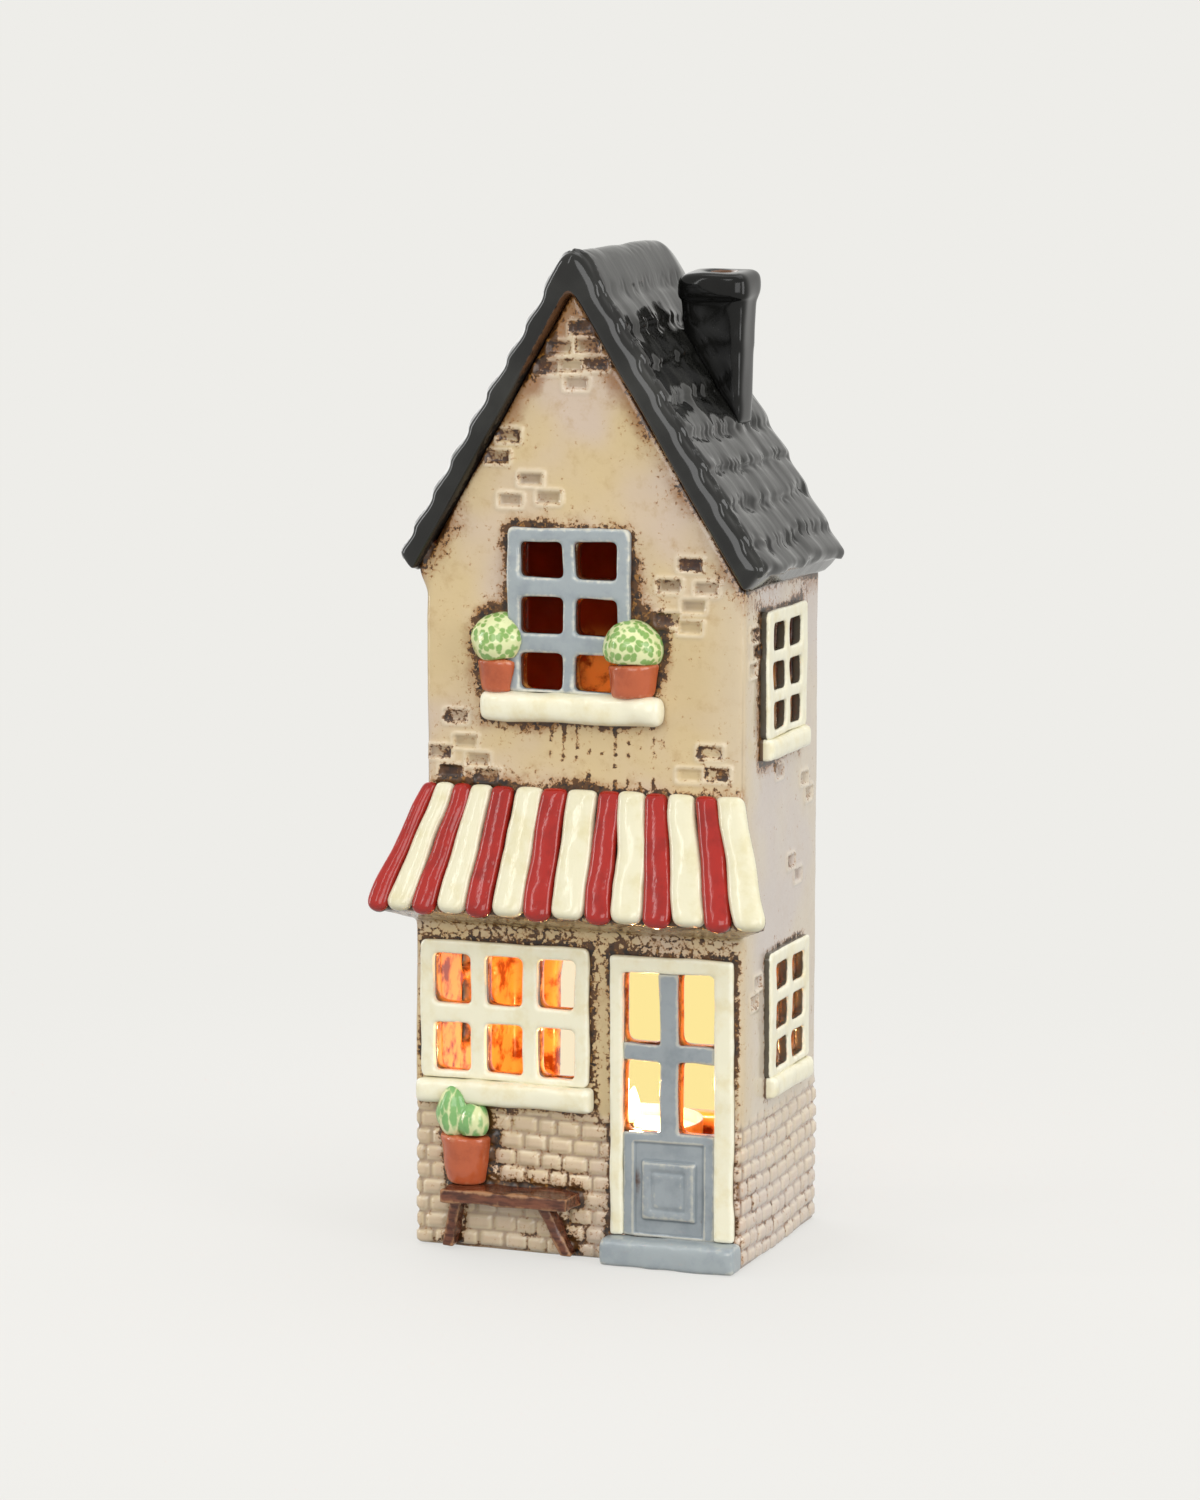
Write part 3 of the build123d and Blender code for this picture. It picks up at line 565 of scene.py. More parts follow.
def loose_bricks(u, z, places):
    """Signed distance to the nearest of some single bricks, above 0 outside, and that brick's darkness."""
    nearest = np.full(len(u), 9.0)
    darkness = np.zeros(len(u))
    for at_u, at_z, dark in places:
        du = np.abs(u - at_u) - LOOSE_LENGTH / 2 + LOOSE_CORNER
        dz = np.abs(z - at_z) - LOOSE_HEIGHT / 2 + LOOSE_CORNER
        outside = np.hypot(np.maximum(du, 0), np.maximum(dz, 0))
        edge = outside + np.minimum(np.maximum(du, dz), 0) - LOOSE_CORNER
        darkness = np.where(edge < nearest, dark, darkness)
        nearest = np.minimum(nearest, edge)
    return nearest, darkness


# Places of single bricks, along the wall and up, and how much brown glaze pools in each
FRONT_BRICKS = [
    (1.5, 240.0, 0.9), (-4.5, 235.0, 0.6), (3.0, 235.5, 0.4), (5.5, 231.0, 0.7), (-1.5, 230.5, 0.8),
    (-8.0, 230.0, 0.3), (0.0, 226.0, 0.4), (-18.5, 212.5, 0.8), (-21.5, 207.0, 0.9), (-12.5, 201.5, 0.2),
    (-7.5, 197.0, 0.2), (-18.0, 196.0, 0.4), (30.5, 181.0, 1.0), (25.0, 175.5, 0.9), (35.0, 175.0, 0.3),
    (31.5, 170.5, 0.1), (24.5, 167.0, 0.4), (30.5, 165.0, 0.1), (-33.0, 140.0, 0.7), (-30.5, 133.5, 0.1),
    (-37.5, 130.5, 0.8), (-27.0, 129.0, 0.3), (-34.5, 125.5, 0.9), (-24.5, 125.0, 0.6), (36.0, 133.5, 1.0),
    (38.0, 128.0, 0.9), (30.5, 127.5, 0.1),
]
RIGHT_BRICKS = [
    (-24.0, 163.0, 0.7), (-22.0, 158.5, 0.2), (-25.0, 154.0, 0.3), (-2.0, 125.5, 0.3), (19.0, 121.0, 0.4),
    (23.0, 116.5, 0.3), (-20.0, 73.0, 0.4), (-23.0, 68.5, 0.7), (8.0, 100.5, 0.6), (14.0, 96.0, 0.2),
]
LEFT_BRICKS = [
    (20.0, 164.0, 0.7), (23.0, 159.5, 0.3), (-19.0, 128.0, 0.8), (-22.0, 123.5, 0.2), (3.0, 121.0, 0.5),
    (14.0, 98.0, 0.7), (9.0, 93.5, 0.2),
]
REAR_BRICKS = [
    (0.0, 236.0, 0.9), (-4.0, 231.5, 0.6), (4.0, 227.0, 0.8), (18.0, 196.0, 0.7), (22.0, 191.5, 0.3),
    (-24.0, 182.0, 0.8), (-20.0, 177.5, 0.3), (12.0, 150.0, 0.7), (16.0, 145.5, 0.2), (-30.0, 128.0, 0.8),
    (-34.0, 123.5, 0.4), (-26.0, 119.0, 0.2), (33.0, 108.0, 0.7), (30.0, 103.5, 0.3),
]

# Walls, floor and the awning's wedge
SKIN = 2.5  # points this near to a wall's face belong to it
WALL_EDGE = 2.0  # and these to the outside as a whole
FLARE, FLARE_HEIGHTS = 2.0, (171, 178.5)  # the left wall's lip under the roof
DRIP_SPACING = 3.5
DRIP_LEFT, DRIP_RIGHT = (-12, -4), (27, 19)  # drips fade out to both sides
DRIP_FOOT, DRIP_HEAD = (119, 123), (146, 142)  # below the upper sill
LOWER_STOREY = (92, 86)  # brown glaze spreads less from here down
DOOR_CORNER = (30, 36)  # and least at the corner beside the door
POST_MIDDLE, POST_HALF = 4.0, (3.5, 1.5)  # the wall between shop window and door
CORNER_REACH = 14  # the front's and the side's colours blend over this


def make_shell():
    """Shape and paint the walls in one skin with the floor and the awning's wedge."""
    shell = Clay("shell", SHELL_NODES, voxel=0.6)
    shell.smooth(1.7)
    n = shell.normals()
    x, y, z = shell.p.T  # views: they follow the points as these move
    left_face = -HALF_WIDTH + LEFT_SETBACK * step(*SETBACK_HEIGHTS, z)
    front = step(0.5, 0.9, -n[:, 1]) * (y < SKIN - HALF_DEPTH)
    right = step(0.5, 0.9, n[:, 0]) * (x > HALF_WIDTH - SKIN)
    left = step(0.5, 0.9, -n[:, 0]) * (x < left_face + SKIN)
    rear = step(0.5, 0.9, n[:, 1]) * (y > HALF_DEPTH - SKIN)

    # relief, bricks and the glaze in and round them
    height = 0.28 * noise(shell.p, 26, 11) + 0.07 * noise(shell.p, 5, 12)
    brick, mortar, pale, pool_and_shade = np.zeros((4, len(x)))
    blot = step(-0.2, 0.4, noise(shell.p, 3.6, 32))
    patchy = step(-0.6, 0.2, noise(shell.p, 5, 31))
    faces = (
        (front, x, FRONT_BRICKS),
        (right, y, RIGHT_BRICKS),
        (left, -y, LEFT_BRICKS),
        (rear, -x, REAR_BRICKS),
    )
    for seed, (weight, u, places) in enumerate(faces, 1):
        deep, which = brick_wall(u, z, seed)
        top = BRICK_TOP - 1.5 * which
        zone = weight * step(top + 0.8, top - 0.8, z)
        height += zone * (-0.35 + (0.55 + 0.35 * which) * step(0.2, 1.25, deep))
        brick = np.maximum(brick, zone * step(0.6, 1.4, deep))
        mortar = np.maximum(mortar, zone * step(0.55, 0.15, deep))
        # pale brick rims: partly thin glaze, partly painted highlight
        thin_glaze_and_highlight = step(0.3, 0.6, deep) * step(1.25, 0.8, deep)
        pale = np.maximum(pale, zone * thin_glaze_and_highlight * (0.3 + 0.5 * which))
        pool_and_shade += 0.16 * zone * step(0.6, 0.1, deep)
        edge, dark = loose_bricks(u, z, places)
        height += weight * (0.42 * bell(edge, 0.55) - 0.55 * step(-0.2, -0.9, edge))
        # pale rims round single bricks: partly thin glaze, partly painted highlight
        pale = np.maximum(pale, 0.6 * weight * bell(edge - 0.1, 0.5))
        pool_and_shade += weight * bell(edge + 0.55, 0.45) * (0.14 + 0.32 * dark * patchy)
        pool_and_shade += weight * dark * (0.1 + 0.6 * blot) * step(-0.3, -1.1, edge)
        pool_and_shade += 0.12 * weight * dark * step(4.0, 0.5, edge)
    shell.push(height + FLARE * left * step(*FLARE_HEIGHTS, z))

    # brown glaze round applied pieces and under the roof, with a dark contact line that is partly painted
    # shade
    applied = [node for node in HOUSE_NODES if node not in SHELL_NODES + ROOF_NODES + CHIMNEY_NODES]
    depth_in = np.minimum(np.minimum(HALF_WIDTH - x, x - left_face), HALF_DEPTH - np.abs(y))
    outer = depth_in < WALL_EDGE
    near = distance_to(shell.p, applied, 10.0, outer)
    near_roof = distance_to(shell.p, ROOF_NODES, 14.0, outer & (z > 150))
    uneven = step(-0.5, 0.6, noise(shell.p, 11, 41))
    amount = 1 - step(*LOWER_STOREY, z) * (0.45 + 0.3 * step(*DOOR_CORNER, x))
    stain = np.zeros(len(x))
    for distance, reach in ((near, 1.0), (near_roof, 1.4)):
        # a dark line right at the contact: partly brown glaze, partly painted contact shade
        pool_and_shade += (0.34 + 0.2 * uneven) * step(1.7, 0.4, distance)
        pool_and_shade += amount * (0.12 + 0.2 * uneven) * step(4.2 * reach, 0.8, distance)
        pool_and_shade += amount * 0.26 * uneven * step(8.5 * reach, 2.0, distance)
        stain = np.maximum(stain, amount * (0.35 + 0.45 * uneven) * step(6.5 * reach, 0.3, distance))
    apex = step(9.0, 2.0, near_roof) * step(200, 236, z)
    pool_and_shade += 0.12 * apex
    stain = np.clip(stain + 0.7 * apex, 0, 1.2)

    # broken columns of drips under the upper sill
    column = np.round(x / DRIP_SPACING)
    aside = np.abs(x - column * DRIP_SPACING + 0.4 * noise(shell.p, 6, 44))
    broken = step(-0.2, 0.2, noise(np.stack([column, 0 * z, z], 1), (1.0, 1.0, 1.5), 42))
    drips = front * step(0.75, 0.25, aside) * broken * step(*DRIP_LEFT, x) * step(*DRIP_RIGHT, x)
    pool_and_shade += 0.6 * drips * step(*DRIP_FOOT, z) * step(*DRIP_HEAD, z)

    # crackle below the awning and beside the door
    wedge_foot = step(0.2, 0.5, -n[:, 2]) * (y < -HALF_DEPTH - 0.5) * (z < 96)
    below_awning = front * step(72, 84, z) * (z < 90) + wedge_foot
    pool_and_shade += 0.1 * below_awning
    post = front * step(*POST_HALF, np.abs(x - POST_MIDDLE)) * (z < 88) * step(36, 44, z)
    crackle = 0.34 * np.clip(below_awning + post + 0.5 * amount * step(4.0, 1.0, near), 0, 1)

    # blots on the bricks round the foot
    blots = step(-0.1, 0.5, noise(shell.p, 7, 43))
    pool_and_shade += 0.46 * blots * mortar + 0.16 * blots * brick

    behind_front = y > -HALF_DEPTH
    corner = 0.45 * front * step(HALF_WIDTH - CORNER_REACH, HALF_WIDTH - 1, x)
    behind_corner = 0.45 + 0.55 * step(-HALF_DEPTH, CORNER_REACH - HALF_DEPTH, y)
    shell.put("side", np.clip((right + left) * behind_corner + corner, 0, 1))
    # the sides of the openings, painted dark brown as shade
    shell.put("reveal", step(0.3, 1.2, depth_in) * step(5.2, 4.0, depth_in) * behind_front)
    shell.put("inside", step(0.4, 2.2, depth_in) * behind_front)
    shell.put("stain", stain)
    shell.put("crackle", crackle)
    shell.put("brick", brick)
    shell.put("mortar", mortar)
    shell.put("pale", pale)
    shell.put("pool_and_shade", pool_and_shade)
    shell.finish(WALL_GLAZE)


# Roof and chimney
SLAB_RIGHT, SLAB_LEFT = 6.4, 4.9  # thickness of the slopes
EAVE_RIGHT, EAVE_LEFT = 1.2, 4.8  # how far they reach past the walls, along the slope
ROOF_FRONT, ROOF_REAR = 4.0, 6.5  # and past the front and the rear
COURSES = 8
COURSE_START = 4.5  # down the slope from the gable's peak
SLOPE_RUN = 44.0  # level length of a slope, about
RIDGE_RISE, RIDGE_END = 2.2, 4.0  # the ridge rises to the rear and drops at its end
RIM_TILT = 0.09
FLUE_ACROSS, FLUE_DEEP = 4.2, 3.7  # half sizes of the hole in the rim


def slope_place(points, eave):
    """Distance down a slope from the gable's peak and out from its underside, and its length, in mm."""
    run = abs(eave[0] - GABLE_PEAK[0])
    rise = GABLE_PEAK[1] - eave[1]
    length = math.hypot(run, rise)
    aside = np.abs(points[:, 0] - GABLE_PEAK[0])
    fall = GABLE_PEAK[1] - points[:, 2]
    return (aside * run + fall * rise) / length, (aside * rise - fall * run) / length, length


def make_roof():
    """Shape and paint both slopes and the roll in one skin, with combed courses."""
    roof = Clay("roof", ROOF_NODES, voxel=0.55)
    roof.smooth(1.45)
    n = roof.normals()
    x, y, z = roof.p.T  # views: they follow the points as these move
    is_right = x > GABLE_PEAK[0]
    down_right, out_right, right_length = slope_place(roof.p, RIGHT_EAVE)
    down_left, out_left, left_length = slope_place(roof.p, LEFT_EAVE)
    down = np.where(is_right, down_right, down_left)
    out = np.where(is_right, out_right - SLAB_RIGHT, out_left - SLAB_LEFT)
    foot = np.where(is_right, right_length + EAVE_RIGHT, left_length + EAVE_LEFT)
    part = (down - COURSE_START) / ((foot - COURSE_START) / COURSES)
    part = part - np.floor(part)
    upper = step(-1.5, -0.3, out) * np.where(is_right, 1.0, 0.5)
    from_front = y + HALF_DEPTH + ROOF_FRONT
    from_rear = HALF_DEPTH + ROOF_REAR - y
    verge = step(5.5, 3.5, np.minimum(from_front, from_rear))
    ridge = step(9.0, 5.0, down)
    plain = upper * (1 - verge) * (1 - 0.8 * ridge)

    # swelling courses, furrows along the slope and combed teeth at each step
    flat = np.stack([y, down, np.where(is_right, 0.0, 50.0)], 1)
    near_step = step(0.6, 0.95, part) + step(0.4, 0.05, part)
    comb = plain * (step(0.74, 0.95, part) + step(0.32, 0.06, part))
    gaps = step(0.34, 0.0, np.abs(noise(flat, (2.6, 9.0, 1.0), 51)))
    height = 0.25 * noise(roof.p, 13, 52) + plain * 0.5 * np.sin(math.pi * part)
    height += plain * (0.12 + 0.38 * near_step) * noise(flat, (4.6, 12.0, 1.0), 53)
    height += plain * 0.06 * noise(flat, (2.4, 12.0, 1.0), 58)
    height += comb * (0.1 - 0.65 * gaps * (0.5 + 0.5 * noise(flat, (8.0, 9.0, 1.0), 54)))
    bead = from_front - 3.2 - 0.7 * np.sin(2 * math.pi * part) - 0.4 * noise(flat, (50.0, 6.0, 1.0), 56)
    height += upper * 0.8 * bell(bead, 0.7)
    slide = 1.5 * noise(flat, (9.0, 16.0, 1.0), 57) * plain
    roof.smooth(3.0, np.maximum(verge, ridge))
    roof.push(height)

    # the ridge's rise, and courses that stray up and down the slope
    back = (y + HALF_DEPTH + ROOF_FRONT) / (2 * HALF_DEPTH + ROOF_FRONT + ROOF_REAR)
    z += step(16.0, 3.0, down) * upper * (RIDGE_RISE * back - RIDGE_END * step(0.84, 1.02, back))
    slope_angle = np.arctan2(GABLE_PEAK[1] - np.where(is_right, RIGHT_EAVE[1], LEFT_EAVE[1]), SLOPE_RUN)
    x += slide * np.cos(slope_angle) * np.where(is_right, 1, -1)
    z -= slide * np.sin(slope_angle)

    bare = step(0.2, 0.6, -n[:, 2]) * (out < -2.0)
    thin = (0.4 + 0.4 * step(222, 240, z)) * bare
    thin += 0.36 * step(0.8, 1.0, part) * upper + 0.3 * verge * (1 - upper) * step(215, 260, z)
    roof.put("across", y / 5.0)
    roof.put("down", down / 22.0)
    roof.put("thin", thin)
    roof.finish(ROOF_GLAZE)


def make_chimney():
    """Shape and paint the stack with its rim, which is a little swollen and tilted."""
    chimney = Clay("chimney", CHIMNEY_NODES, voxel=0.45)
    chimney.smooth(1.9)
    x, y, z = chimney.p.T  # views: they follow the points as these move
    rim_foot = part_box("chimney_rim")[0].z / MM
    on_rim = step(rim_foot - 0.5, rim_foot + 1.5, z)
    chimney.push(0.5 + 0.2 * on_rim + 0.25 * noise(chimney.p, 7, 61))
    z += RIM_TILT * on_rim * (y - y.mean())
    n = chimney.normals()
    hole = np.hypot((x - x.mean()) / FLUE_ACROSS, (y - y.mean()) / FLUE_DEEP) < 1
    chimney.put("across", np.where(np.abs(n[:, 0]) > 0.5, y, x) / 9.0)
    chimney.put("down", z / 16.0)
    chimney.put("thin", 0.9 * hole + 0.1 * (n[:, 2] > 0.8))
    chimney.finish(CHIMNEY_GLAZE)


# Awning
AWNING_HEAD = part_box("awning_backing")[1].z / MM
AWNING_LIP = 91.0  # height of the slope's lower edge
AWNING_REACH = 14.0  # how far that stands out from the wall


def make_stripes():
    """Shape and paint the awning's stripes as rolls of clay."""
    on = (0, -HALF_DEPTH, AWNING_HEAD)
    out = (0, AWNING_LIP - AWNING_HEAD, AWNING_REACH)
    for node in sorted(HOUSE_NODES):
        if not node.startswith("awning_stripe"):
            continue
        stripe = Clay(node + "_glazed", [node], 0.4, on, out)
        seed = 70 + 3 * int(node.split("_")[2])
        stripe.smooth(1.8)
        stripe.push(0.4 + 0.3 * noise(stripe.p, 12, seed) + 0.05 * noise(stripe.p, 4, seed + 1))
        stripe.p[:, 0] += 0.45 * noise(stripe.p * (0, 1, 1), 9, seed + 2)
        stripe.put_edges()
        if node.endswith("_red"):
            stripe.finish(RED_GLAZE)
        else:
            stripe.finish(STRIPE_GLAZE)


# Applied pieces
FRONT = ((0, -HALF_DEPTH, 0), (0, -1, 0))  # a place on a wall's face, and the direction out of it
RIGHT = ((HALF_WIDTH, 0, 0), (1, 0, 0))
LEFT_UPPER = ((LEFT_SETBACK - HALF_WIDTH, 0, 0), (-1, 0, 0))
LEFT_LOWER = ((-HALF_WIDTH, 0, 0), (-1, 0, 0))
WINDOW_WALLS = {
    "right_upper": RIGHT,
    "right_lower": RIGHT,
    "left_upper": LEFT_UPPER,
    "left_lower": LEFT_LOWER,
}


def applied_piece(
    name, nodes, material, slot, round_by=0.7, voxel=0.42, wall=FRONT, lumps=0.14, root=1.0, shape=None
):
    """Shape and paint a piece on a wall: rounded, bent and lumpy by some mm, and changed by a function."""
    piece = Clay(name, nodes, voxel, *wall)
    seed = 200 + sum(map(ord, name)) % 97  # a fixed one for each name
    piece.smooth(round_by)
    if shape:
        shape(piece)
    piece.wobble(0.28, 11, seed)
    piece.push(lumps * noise(piece.p, 4.5, seed + 5) + 0.02 * noise(piece.p, 1.8, seed + 6))
    piece.put_edges(root)
    piece.finish(material)


def longer_sill(piece):
    """Draw the right end out a little and swell the piece, as in hand-rolled clay."""
    x = piece.p[:, 0]
    x += 1.4 * step(8, 22, x)
    piece.push(np.full(len(x), 0.5))


def lower_shrub(piece):
    """Press the shrub down and in a little on its pot."""
    foot = piece.p[:, 2].min()
    middle = piece.p[:, 0].mean()
    piece.p[:, 2] = foot + 0.86 * (piece.p[:, 2] - foot)
    piece.p[:, 0] = middle + 0.94 * (piece.p[:, 0] - middle)


def door_relief(piece):
    """Raise the borders on the door's lower field, and sink the field round them."""
    low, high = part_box("door_panel")
    x, y, z = piece.p.T  # views: they follow the points as these move
    middle = (low.x + high.x) / 2 / MM - CENTRE[0] / MM
    foot, head = low.z / MM, high.z / MM
    leaf_face = (high.y - CENTRE[1]) / MM
    y -= 0.5 * (y < leaf_face - 0.15)
    field = step(9.6, 9.0, np.abs(x - middle))
    field *= step(foot - 4.6, foot - 4.0, z) * step(head + 5.4, head + 4.8, z)
    y += 0.55 * field * (y < leaf_face + 0.6)


def make_front_and_sides():
    """Frames, sills, door and step."""
    cream = {"material": CREAM_GLAZE, "slot": "cream_glaze"}
    side = {"material": SIDE_GLAZE, "slot": "cream_glaze", "root": 2.0}
    blue = {"material": BLUE_GLAZE, "slot": "blue_glaze"}
    door = {"material": DOOR_GLAZE, "slot": "blue_glaze", "voxel": 0.3}
    applied_piece("shop_frame", ["shop_window_frame"], **cream)
    applied_piece("shop_sill", ["shop_window_sill"], round_by=1.4, lumps=0.25, **cream)
    applied_piece("upper_frame", ["upper_window_frame"], **blue)
    applied_piece("upper_sill", ["upper_window_sill"], round_by=2.2, lumps=0.35, shape=longer_sill, **cream)
    for place, wall in WINDOW_WALLS.items():
        applied_piece(place + "_frame", [place + "_window_frame"], wall=wall, **side)
        applied_piece(place + "_sill", [place + "_window_sill"], wall=wall, round_by=0.8, **cream)
    applied_piece("door_frame", ["door_surround"], **cream)
    applied_piece("door", ["door_leaf", "door_panel"], round_by=0.5, shape=door_relief, **door)
    applied_piece("step", ["doorstep"], round_by=1.7, lumps=0.25, **blue)


def make_plants_and_bench():
    """Pots, shrubs, the plant and the bench."""
    pot = {"material": POT_GLAZE, "slot": "terracotta_glaze", "round_by": 1.5, "voxel": 0.38, "lumps": 0.3}
    green = {"slot": "green_glaze", "voxel": 0.38, "lumps": 0.45}
    shrub = {"material": SHRUB_GLAZE, "round_by": 0.6, **green}
    plant = {"material": PLANT_GLAZE, "round_by": 0.5, **green}
    bench = {"material": BENCH_GLAZE, "slot": "brown_glaze", "round_by": 0.6, "voxel": 0.36, "lumps": 0.3}
    for hand, shape in (("left", None), ("right", lower_shrub)):
        applied_piece("pot_" + hand, ["window_pot_" + hand], **pot)
        applied_piece("shrub_" + hand, ["window_shrub_" + hand], shape=shape, **shrub)
    applied_piece("bench", ["bench_seat", "bench_leg_left", "bench_leg_right"], **bench)
    applied_piece("pot_on_bench", ["bench_pot"], **pot)
    applied_piece("plant_on_bench", ["bench_plant"], **plant)


# Tealight
wick_low, wick_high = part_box("tealight_wick")
WICK_X, WICK_Y = (wick_low.x + wick_high.x) / 2, (wick_low.y + wick_high.y) / 2
FLAME_FOOT = wick_high.z - 4.5 * MM
FLAME_HEIGHT = 10.0
FLAME_RADIUS = 2.5
FLAME_TIP = 0.02  # radius of both ends
FLAME_LEAN = 0.9
RINGS, SEGMENTS = 28, 24


def paint_tealight():
    """Give the tealight's CAD nodes their materials."""
    sheet = metal()
    materials = {
        "tealight_cup": sheet,
        "wick_tab": sheet,
        "tealight_wax": candle_wax(),
        "tealight_wick": cotton(),
    }
    for node, material in materials.items():
        mesh = frame["nodes"][node].data
        mesh.materials.clear()
        mesh.materials.append(material)


def make_flame():
    """A closed drop around the wick's tip, which leans a little to the right."""
    points, faces = [], []
    for ring in range(RINGS + 1):
        t = ring / RINGS
        swell = math.sin(math.pi * t**0.62) ** 0.85 if 0 < t < 1 else 0.0
        radius = FLAME_RADIUS * swell + FLAME_TIP
        lean = FLAME_LEAN * t**2.2
        for segment in range(SEGMENTS):
            angle = 2 * math.pi * segment / SEGMENTS
            x = WICK_X + (lean + radius * math.cos(angle)) * MM
            y = WICK_Y + radius * math.sin(angle) * MM
            points.append((x, y, FLAME_FOOT + t * FLAME_HEIGHT * MM))
    for ring in range(RINGS):
        low, high = ring * SEGMENTS, (ring + 1) * SEGMENTS
        for segment in range(SEGMENTS):
            after = (segment + 1) % SEGMENTS
            faces.append((low + segment, low + after, high + after, high + segment))
    faces.append(tuple(reversed(range(SEGMENTS))))
    faces.append(tuple(range(RINGS * SEGMENTS, (RINGS + 1) * SEGMENTS)))
    mesh = bpy.data.meshes.new("flame")
    mesh.from_pydata(points, [], faces)
    mesh.shade_smooth()
    mesh.materials.append(fire())
    flame = new_object("flame", mesh)
    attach(flame, "tealight")


# Stage: pale floor and background, soft light, camera. Places are in metres here.
BACKGROUND = srgb(238, 237, 233)
WORLD_LIGHT = 0.92
FLOOR_GLOW = 0.69  # the part of the floor's paleness that no shadow takes away
FLOOR_HALF = 30.0
AIM = (0, 0, 0.13)  # about the house's middle
FLOOR_FADE = (0.12, 0.42)  # shadows on the floor fade out between these distances
CANDLE_RISE = 9 * MM  # the candle's light above the flame's foot
CANDLE_WATTS, CANDLE_SIZE = 0.17, 3 * MM
CANDLE_COLOUR = (1.0, 0.6, 0.25)
GLOW_CARD_HALF, GLOW_CARD_FOOT, GLOW_CARD_HEAD = 33.0, 22.0, 92.0  # the glowing card, a painted glow, in mm
GLOW_CARD_GAP = 0.8  # behind the rear wall, in mm
GLOW_CARD_EDGE = (-0.024, -0.012)  # paler to the left of this
# name, place, watts, width and height of each soft light
SOFTBOXES = [
    ("key", (0.3, -1.5, 0.55), 7.2, 0.9, 0.9),
    ("right", (1.3, -0.5, 0.5), 8.2, 0.7, 1.0),
    ("top", (0.15, 0.2, 1.3), 2.4, 0.8, 0.8),
    ("strip", (-0.5, -1.05, 1.0), 1.1, 0.06, 1.0),
    ("left", (-1.2, -0.45, 0.35), 3.4, 0.16, 0.9),
    ("rear", (-1.0, 1.0, 0.7), 5.5, 1.3, 1.3),
]


def lamp(name, kind, place, energy, **settings):
    """A light in the scene."""
    light = bpy.data.lights.new(name, kind)
    light.energy = energy
    for key, value in settings.items():
        setattr(light, key, value)
    made = new_object(name, light)
    made.location = place
    return made


def facing(direction):
    """The rotation of a lamp or camera that looks in a direction."""
    return direction.to_track_quat("-Z", "Y").to_euler()


def light_scene():
    """The candle, which moves with the tealight, and the soft lights."""
    place = (WICK_X, WICK_Y, FLAME_FOOT + CANDLE_RISE)
    candle = lamp("candle", "POINT", place, CANDLE_WATTS, color=CANDLE_COLOUR, shadow_soft_size=CANDLE_SIZE)
    candle.parent = frame["bodies"]["tealight"]
    for name, place, energy, width, height in SOFTBOXES:
        made = lamp(name, "AREA", place, energy, shape="RECTANGLE", size=width, size_y=height)
        made.rotation_euler = facing(Vector(AIM) - Vector(place))


def seen_directly(g):
    """1 for what the camera, a reflection or a see-through surface shows, 0 for light on the object."""
    path = g.node("ShaderNodeLightPath", {})
    shown = path.outputs["Is Camera Ray"]
    for kind in ("Is Glossy Ray", "Is Transmission Ray"):
        shown = g.math("MAXIMUM", shown, path.outputs[kind])
    return shown


def make_world():
    """White light all round, seen as the plain background."""
    world = bpy.data.worlds.new("studio")
    bpy.context.scene.world = world
    g = Nodes(world)
    light = g.nodes["Background"]
    light.inputs["Color"].default_value = (1, 1, 1, 1)
    light.inputs["Strength"].default_value = WORLD_LIGHT
    plain = g.node("ShaderNodeBackground", {"Color": BACKGROUND})
    surface = g.blend(seen_directly(g), light.outputs[0], plain.outputs[0])
    g.feed(g.nodes["World Output"].inputs["Surface"], surface)


def stage_card(name, corners, wire):
    """A flat card of the stage. A function wires its material and gives the surface."""
    material = bpy.data.materials.new(name)
    g = Nodes(material)
    g.nodes.remove(g.nodes["Principled BSDF"])
    g.feed(g.nodes["Material Output"].inputs["Surface"], wire(g))
    mesh = bpy.data.meshes.new(name)
    mesh.from_pydata(corners, [], [(0, 1, 2, 3)])
    mesh.materials.append(material)
    card = new_object(name, mesh)


def floor_surface(g):
    """Matt, with the object's shadow near it, and as pale as the background farther off."""
    matt = g.node("ShaderNodeBsdfDiffuse", {"Color": srgb(128, 127, 125)}).outputs[0]
    glow = g.node("ShaderNodeEmission", {"Color": BACKGROUND, "Strength": FLOOR_GLOW}).outputs[0]
    far = g.node("ShaderNodeEmission", {"Color": BACKGROUND}).outputs[0]
    near = g.node("ShaderNodeAddShader", {0: matt, 1: glow}).outputs[0]
    away = g.node("ShaderNodeVectorMath", {0: g.coordinates()}, operation="LENGTH").outputs["Value"]
    return g.blend(seen_directly(g), matt, g.blend(g.step(away, *FLOOR_FADE), near, far))


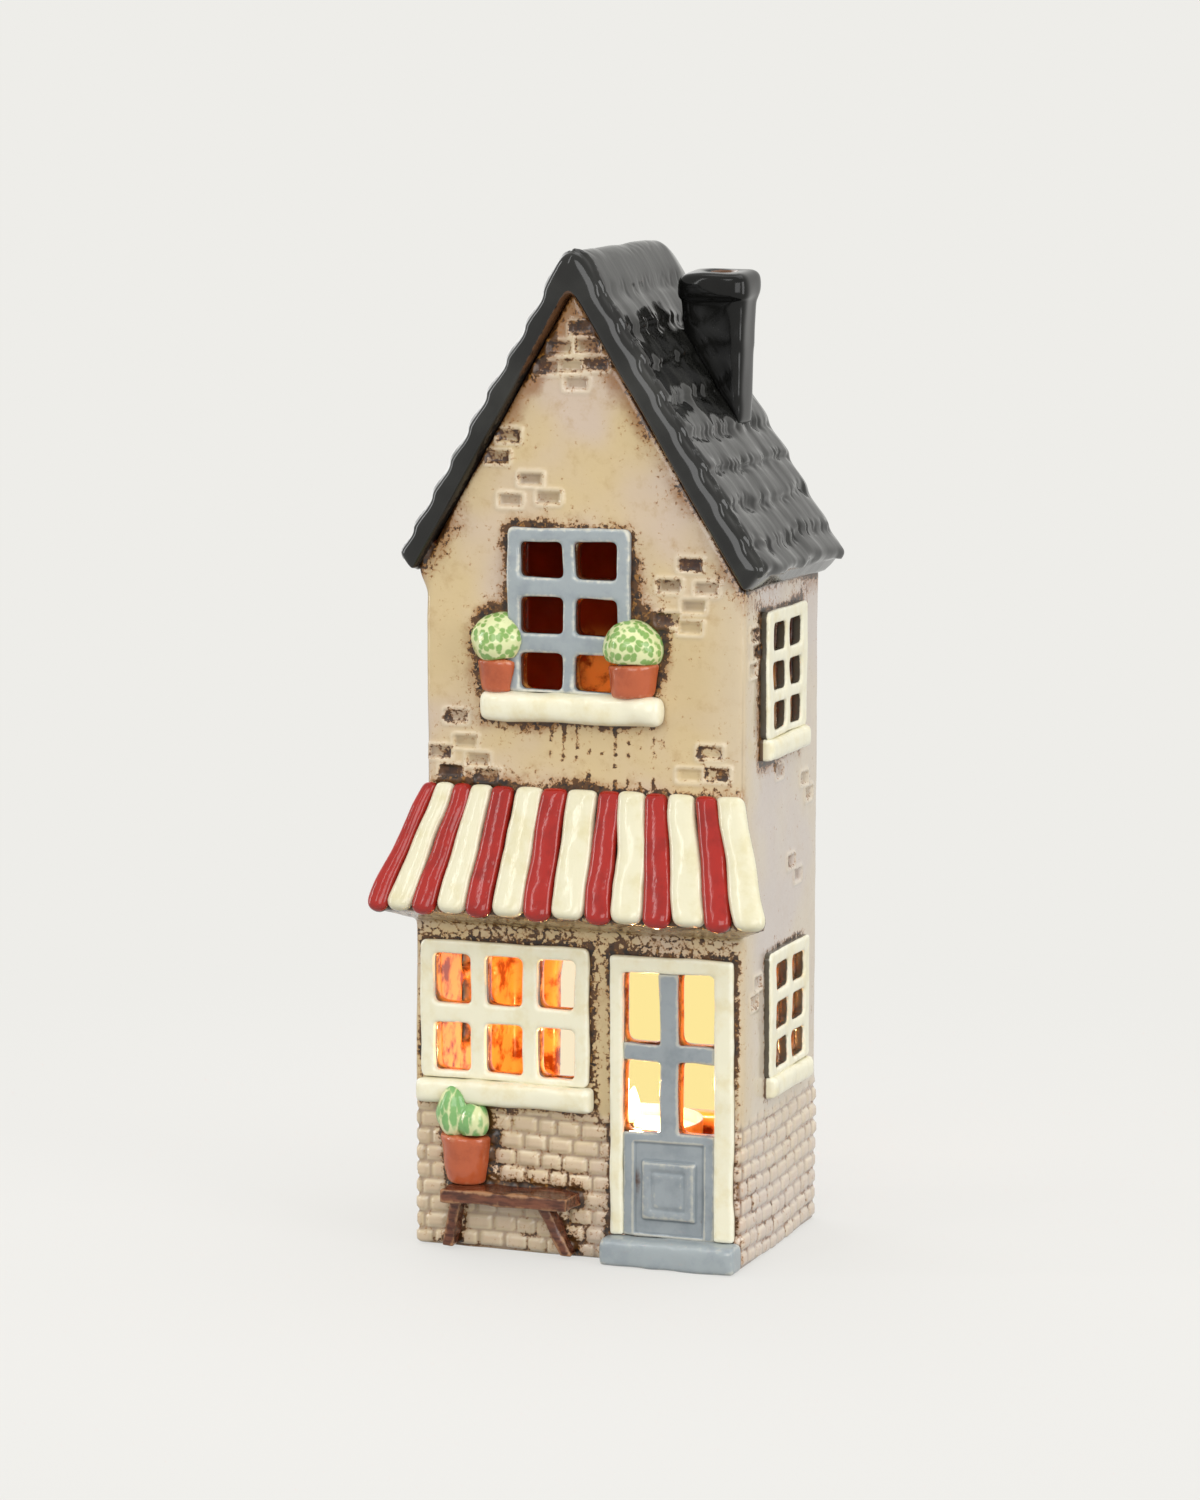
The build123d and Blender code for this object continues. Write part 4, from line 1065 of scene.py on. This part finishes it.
def glow_card_surface(g):
    """A painted warm glow for the camera in front, clear from behind and for all other light."""
    across = g.step(g.axis(g.coordinates(), "X"), *GLOW_CARD_EDGE)
    tint = g.mix(across, srgb(250, 234, 200), srgb(254, 232, 155))
    # emission for the camera in front: a painted glow, standing in for warm light seen through the panes
    warm = g.node("ShaderNodeEmission", {"Color": tint}).outputs[0]
    clear = g.node("ShaderNodeBsdfTransparent", {}).outputs[0]
    seen = g.node("ShaderNodeLightPath", {}).outputs["Is Camera Ray"]
    behind = g.node("ShaderNodeNewGeometry", {}).outputs["Backfacing"]
    shows = g.node("ShaderNodeMath", {0: seen, 1: behind}, operation="SUBTRACT", use_clamp=True).outputs[0]
    return g.blend(shows, clear, warm)


def make_stage():
    """The floor, and a card just behind the rear opening with the painted warm glow that the panes show."""
    low, high = -FLOOR_HALF, FLOOR_HALF
    stage_card("floor", [(low, low, 0), (high, low, 0), (high, high, 0), (low, high, 0)], floor_surface)
    left, right, rear = -GLOW_CARD_HALF, GLOW_CARD_HALF, HALF_DEPTH + GLOW_CARD_GAP
    outline = [(left, GLOW_CARD_FOOT), (right, GLOW_CARD_FOOT), (right, GLOW_CARD_HEAD), (left, GLOW_CARD_HEAD)]
    corners = np.array([(x, rear, z) for x, z in outline]) * MM + CENTRE
    stage_card("painted_glow", corners.tolist(), glow_card_surface)


CAMERA_PLACE = (0.3951, -1.1025, 0.2837)  # from the middle of the walls, on the ground
CAMERA_TURN, CAMERA_DIP = math.radians(19.95), math.radians(7.54)
LENS, SENSOR = 108.2, 36  # in mm


def make_camera():
    """The photograph's camera."""
    data = bpy.data.cameras.new("camera")
    data.lens = LENS
    data.sensor_width = SENSOR
    data.clip_start = 0.01
    camera = new_object("camera", data)
    camera.location = CENTRE + np.array(CAMERA_PLACE)
    level = math.cos(CAMERA_DIP)
    ahead = (-math.sin(CAMERA_TURN) * level, math.cos(CAMERA_TURN) * level, -math.sin(CAMERA_DIP))
    camera.rotation_euler = facing(Vector(ahead))
    bpy.context.scene.camera = camera


make_shell()
make_roof()
make_chimney()
make_stripes()
make_front_and_sides()
make_plants_and_bench()
paint_tealight()
make_flame()
light_scene()
make_world()
make_stage()
make_camera()
bpy.context.scene.view_settings.view_transform = "Standard"
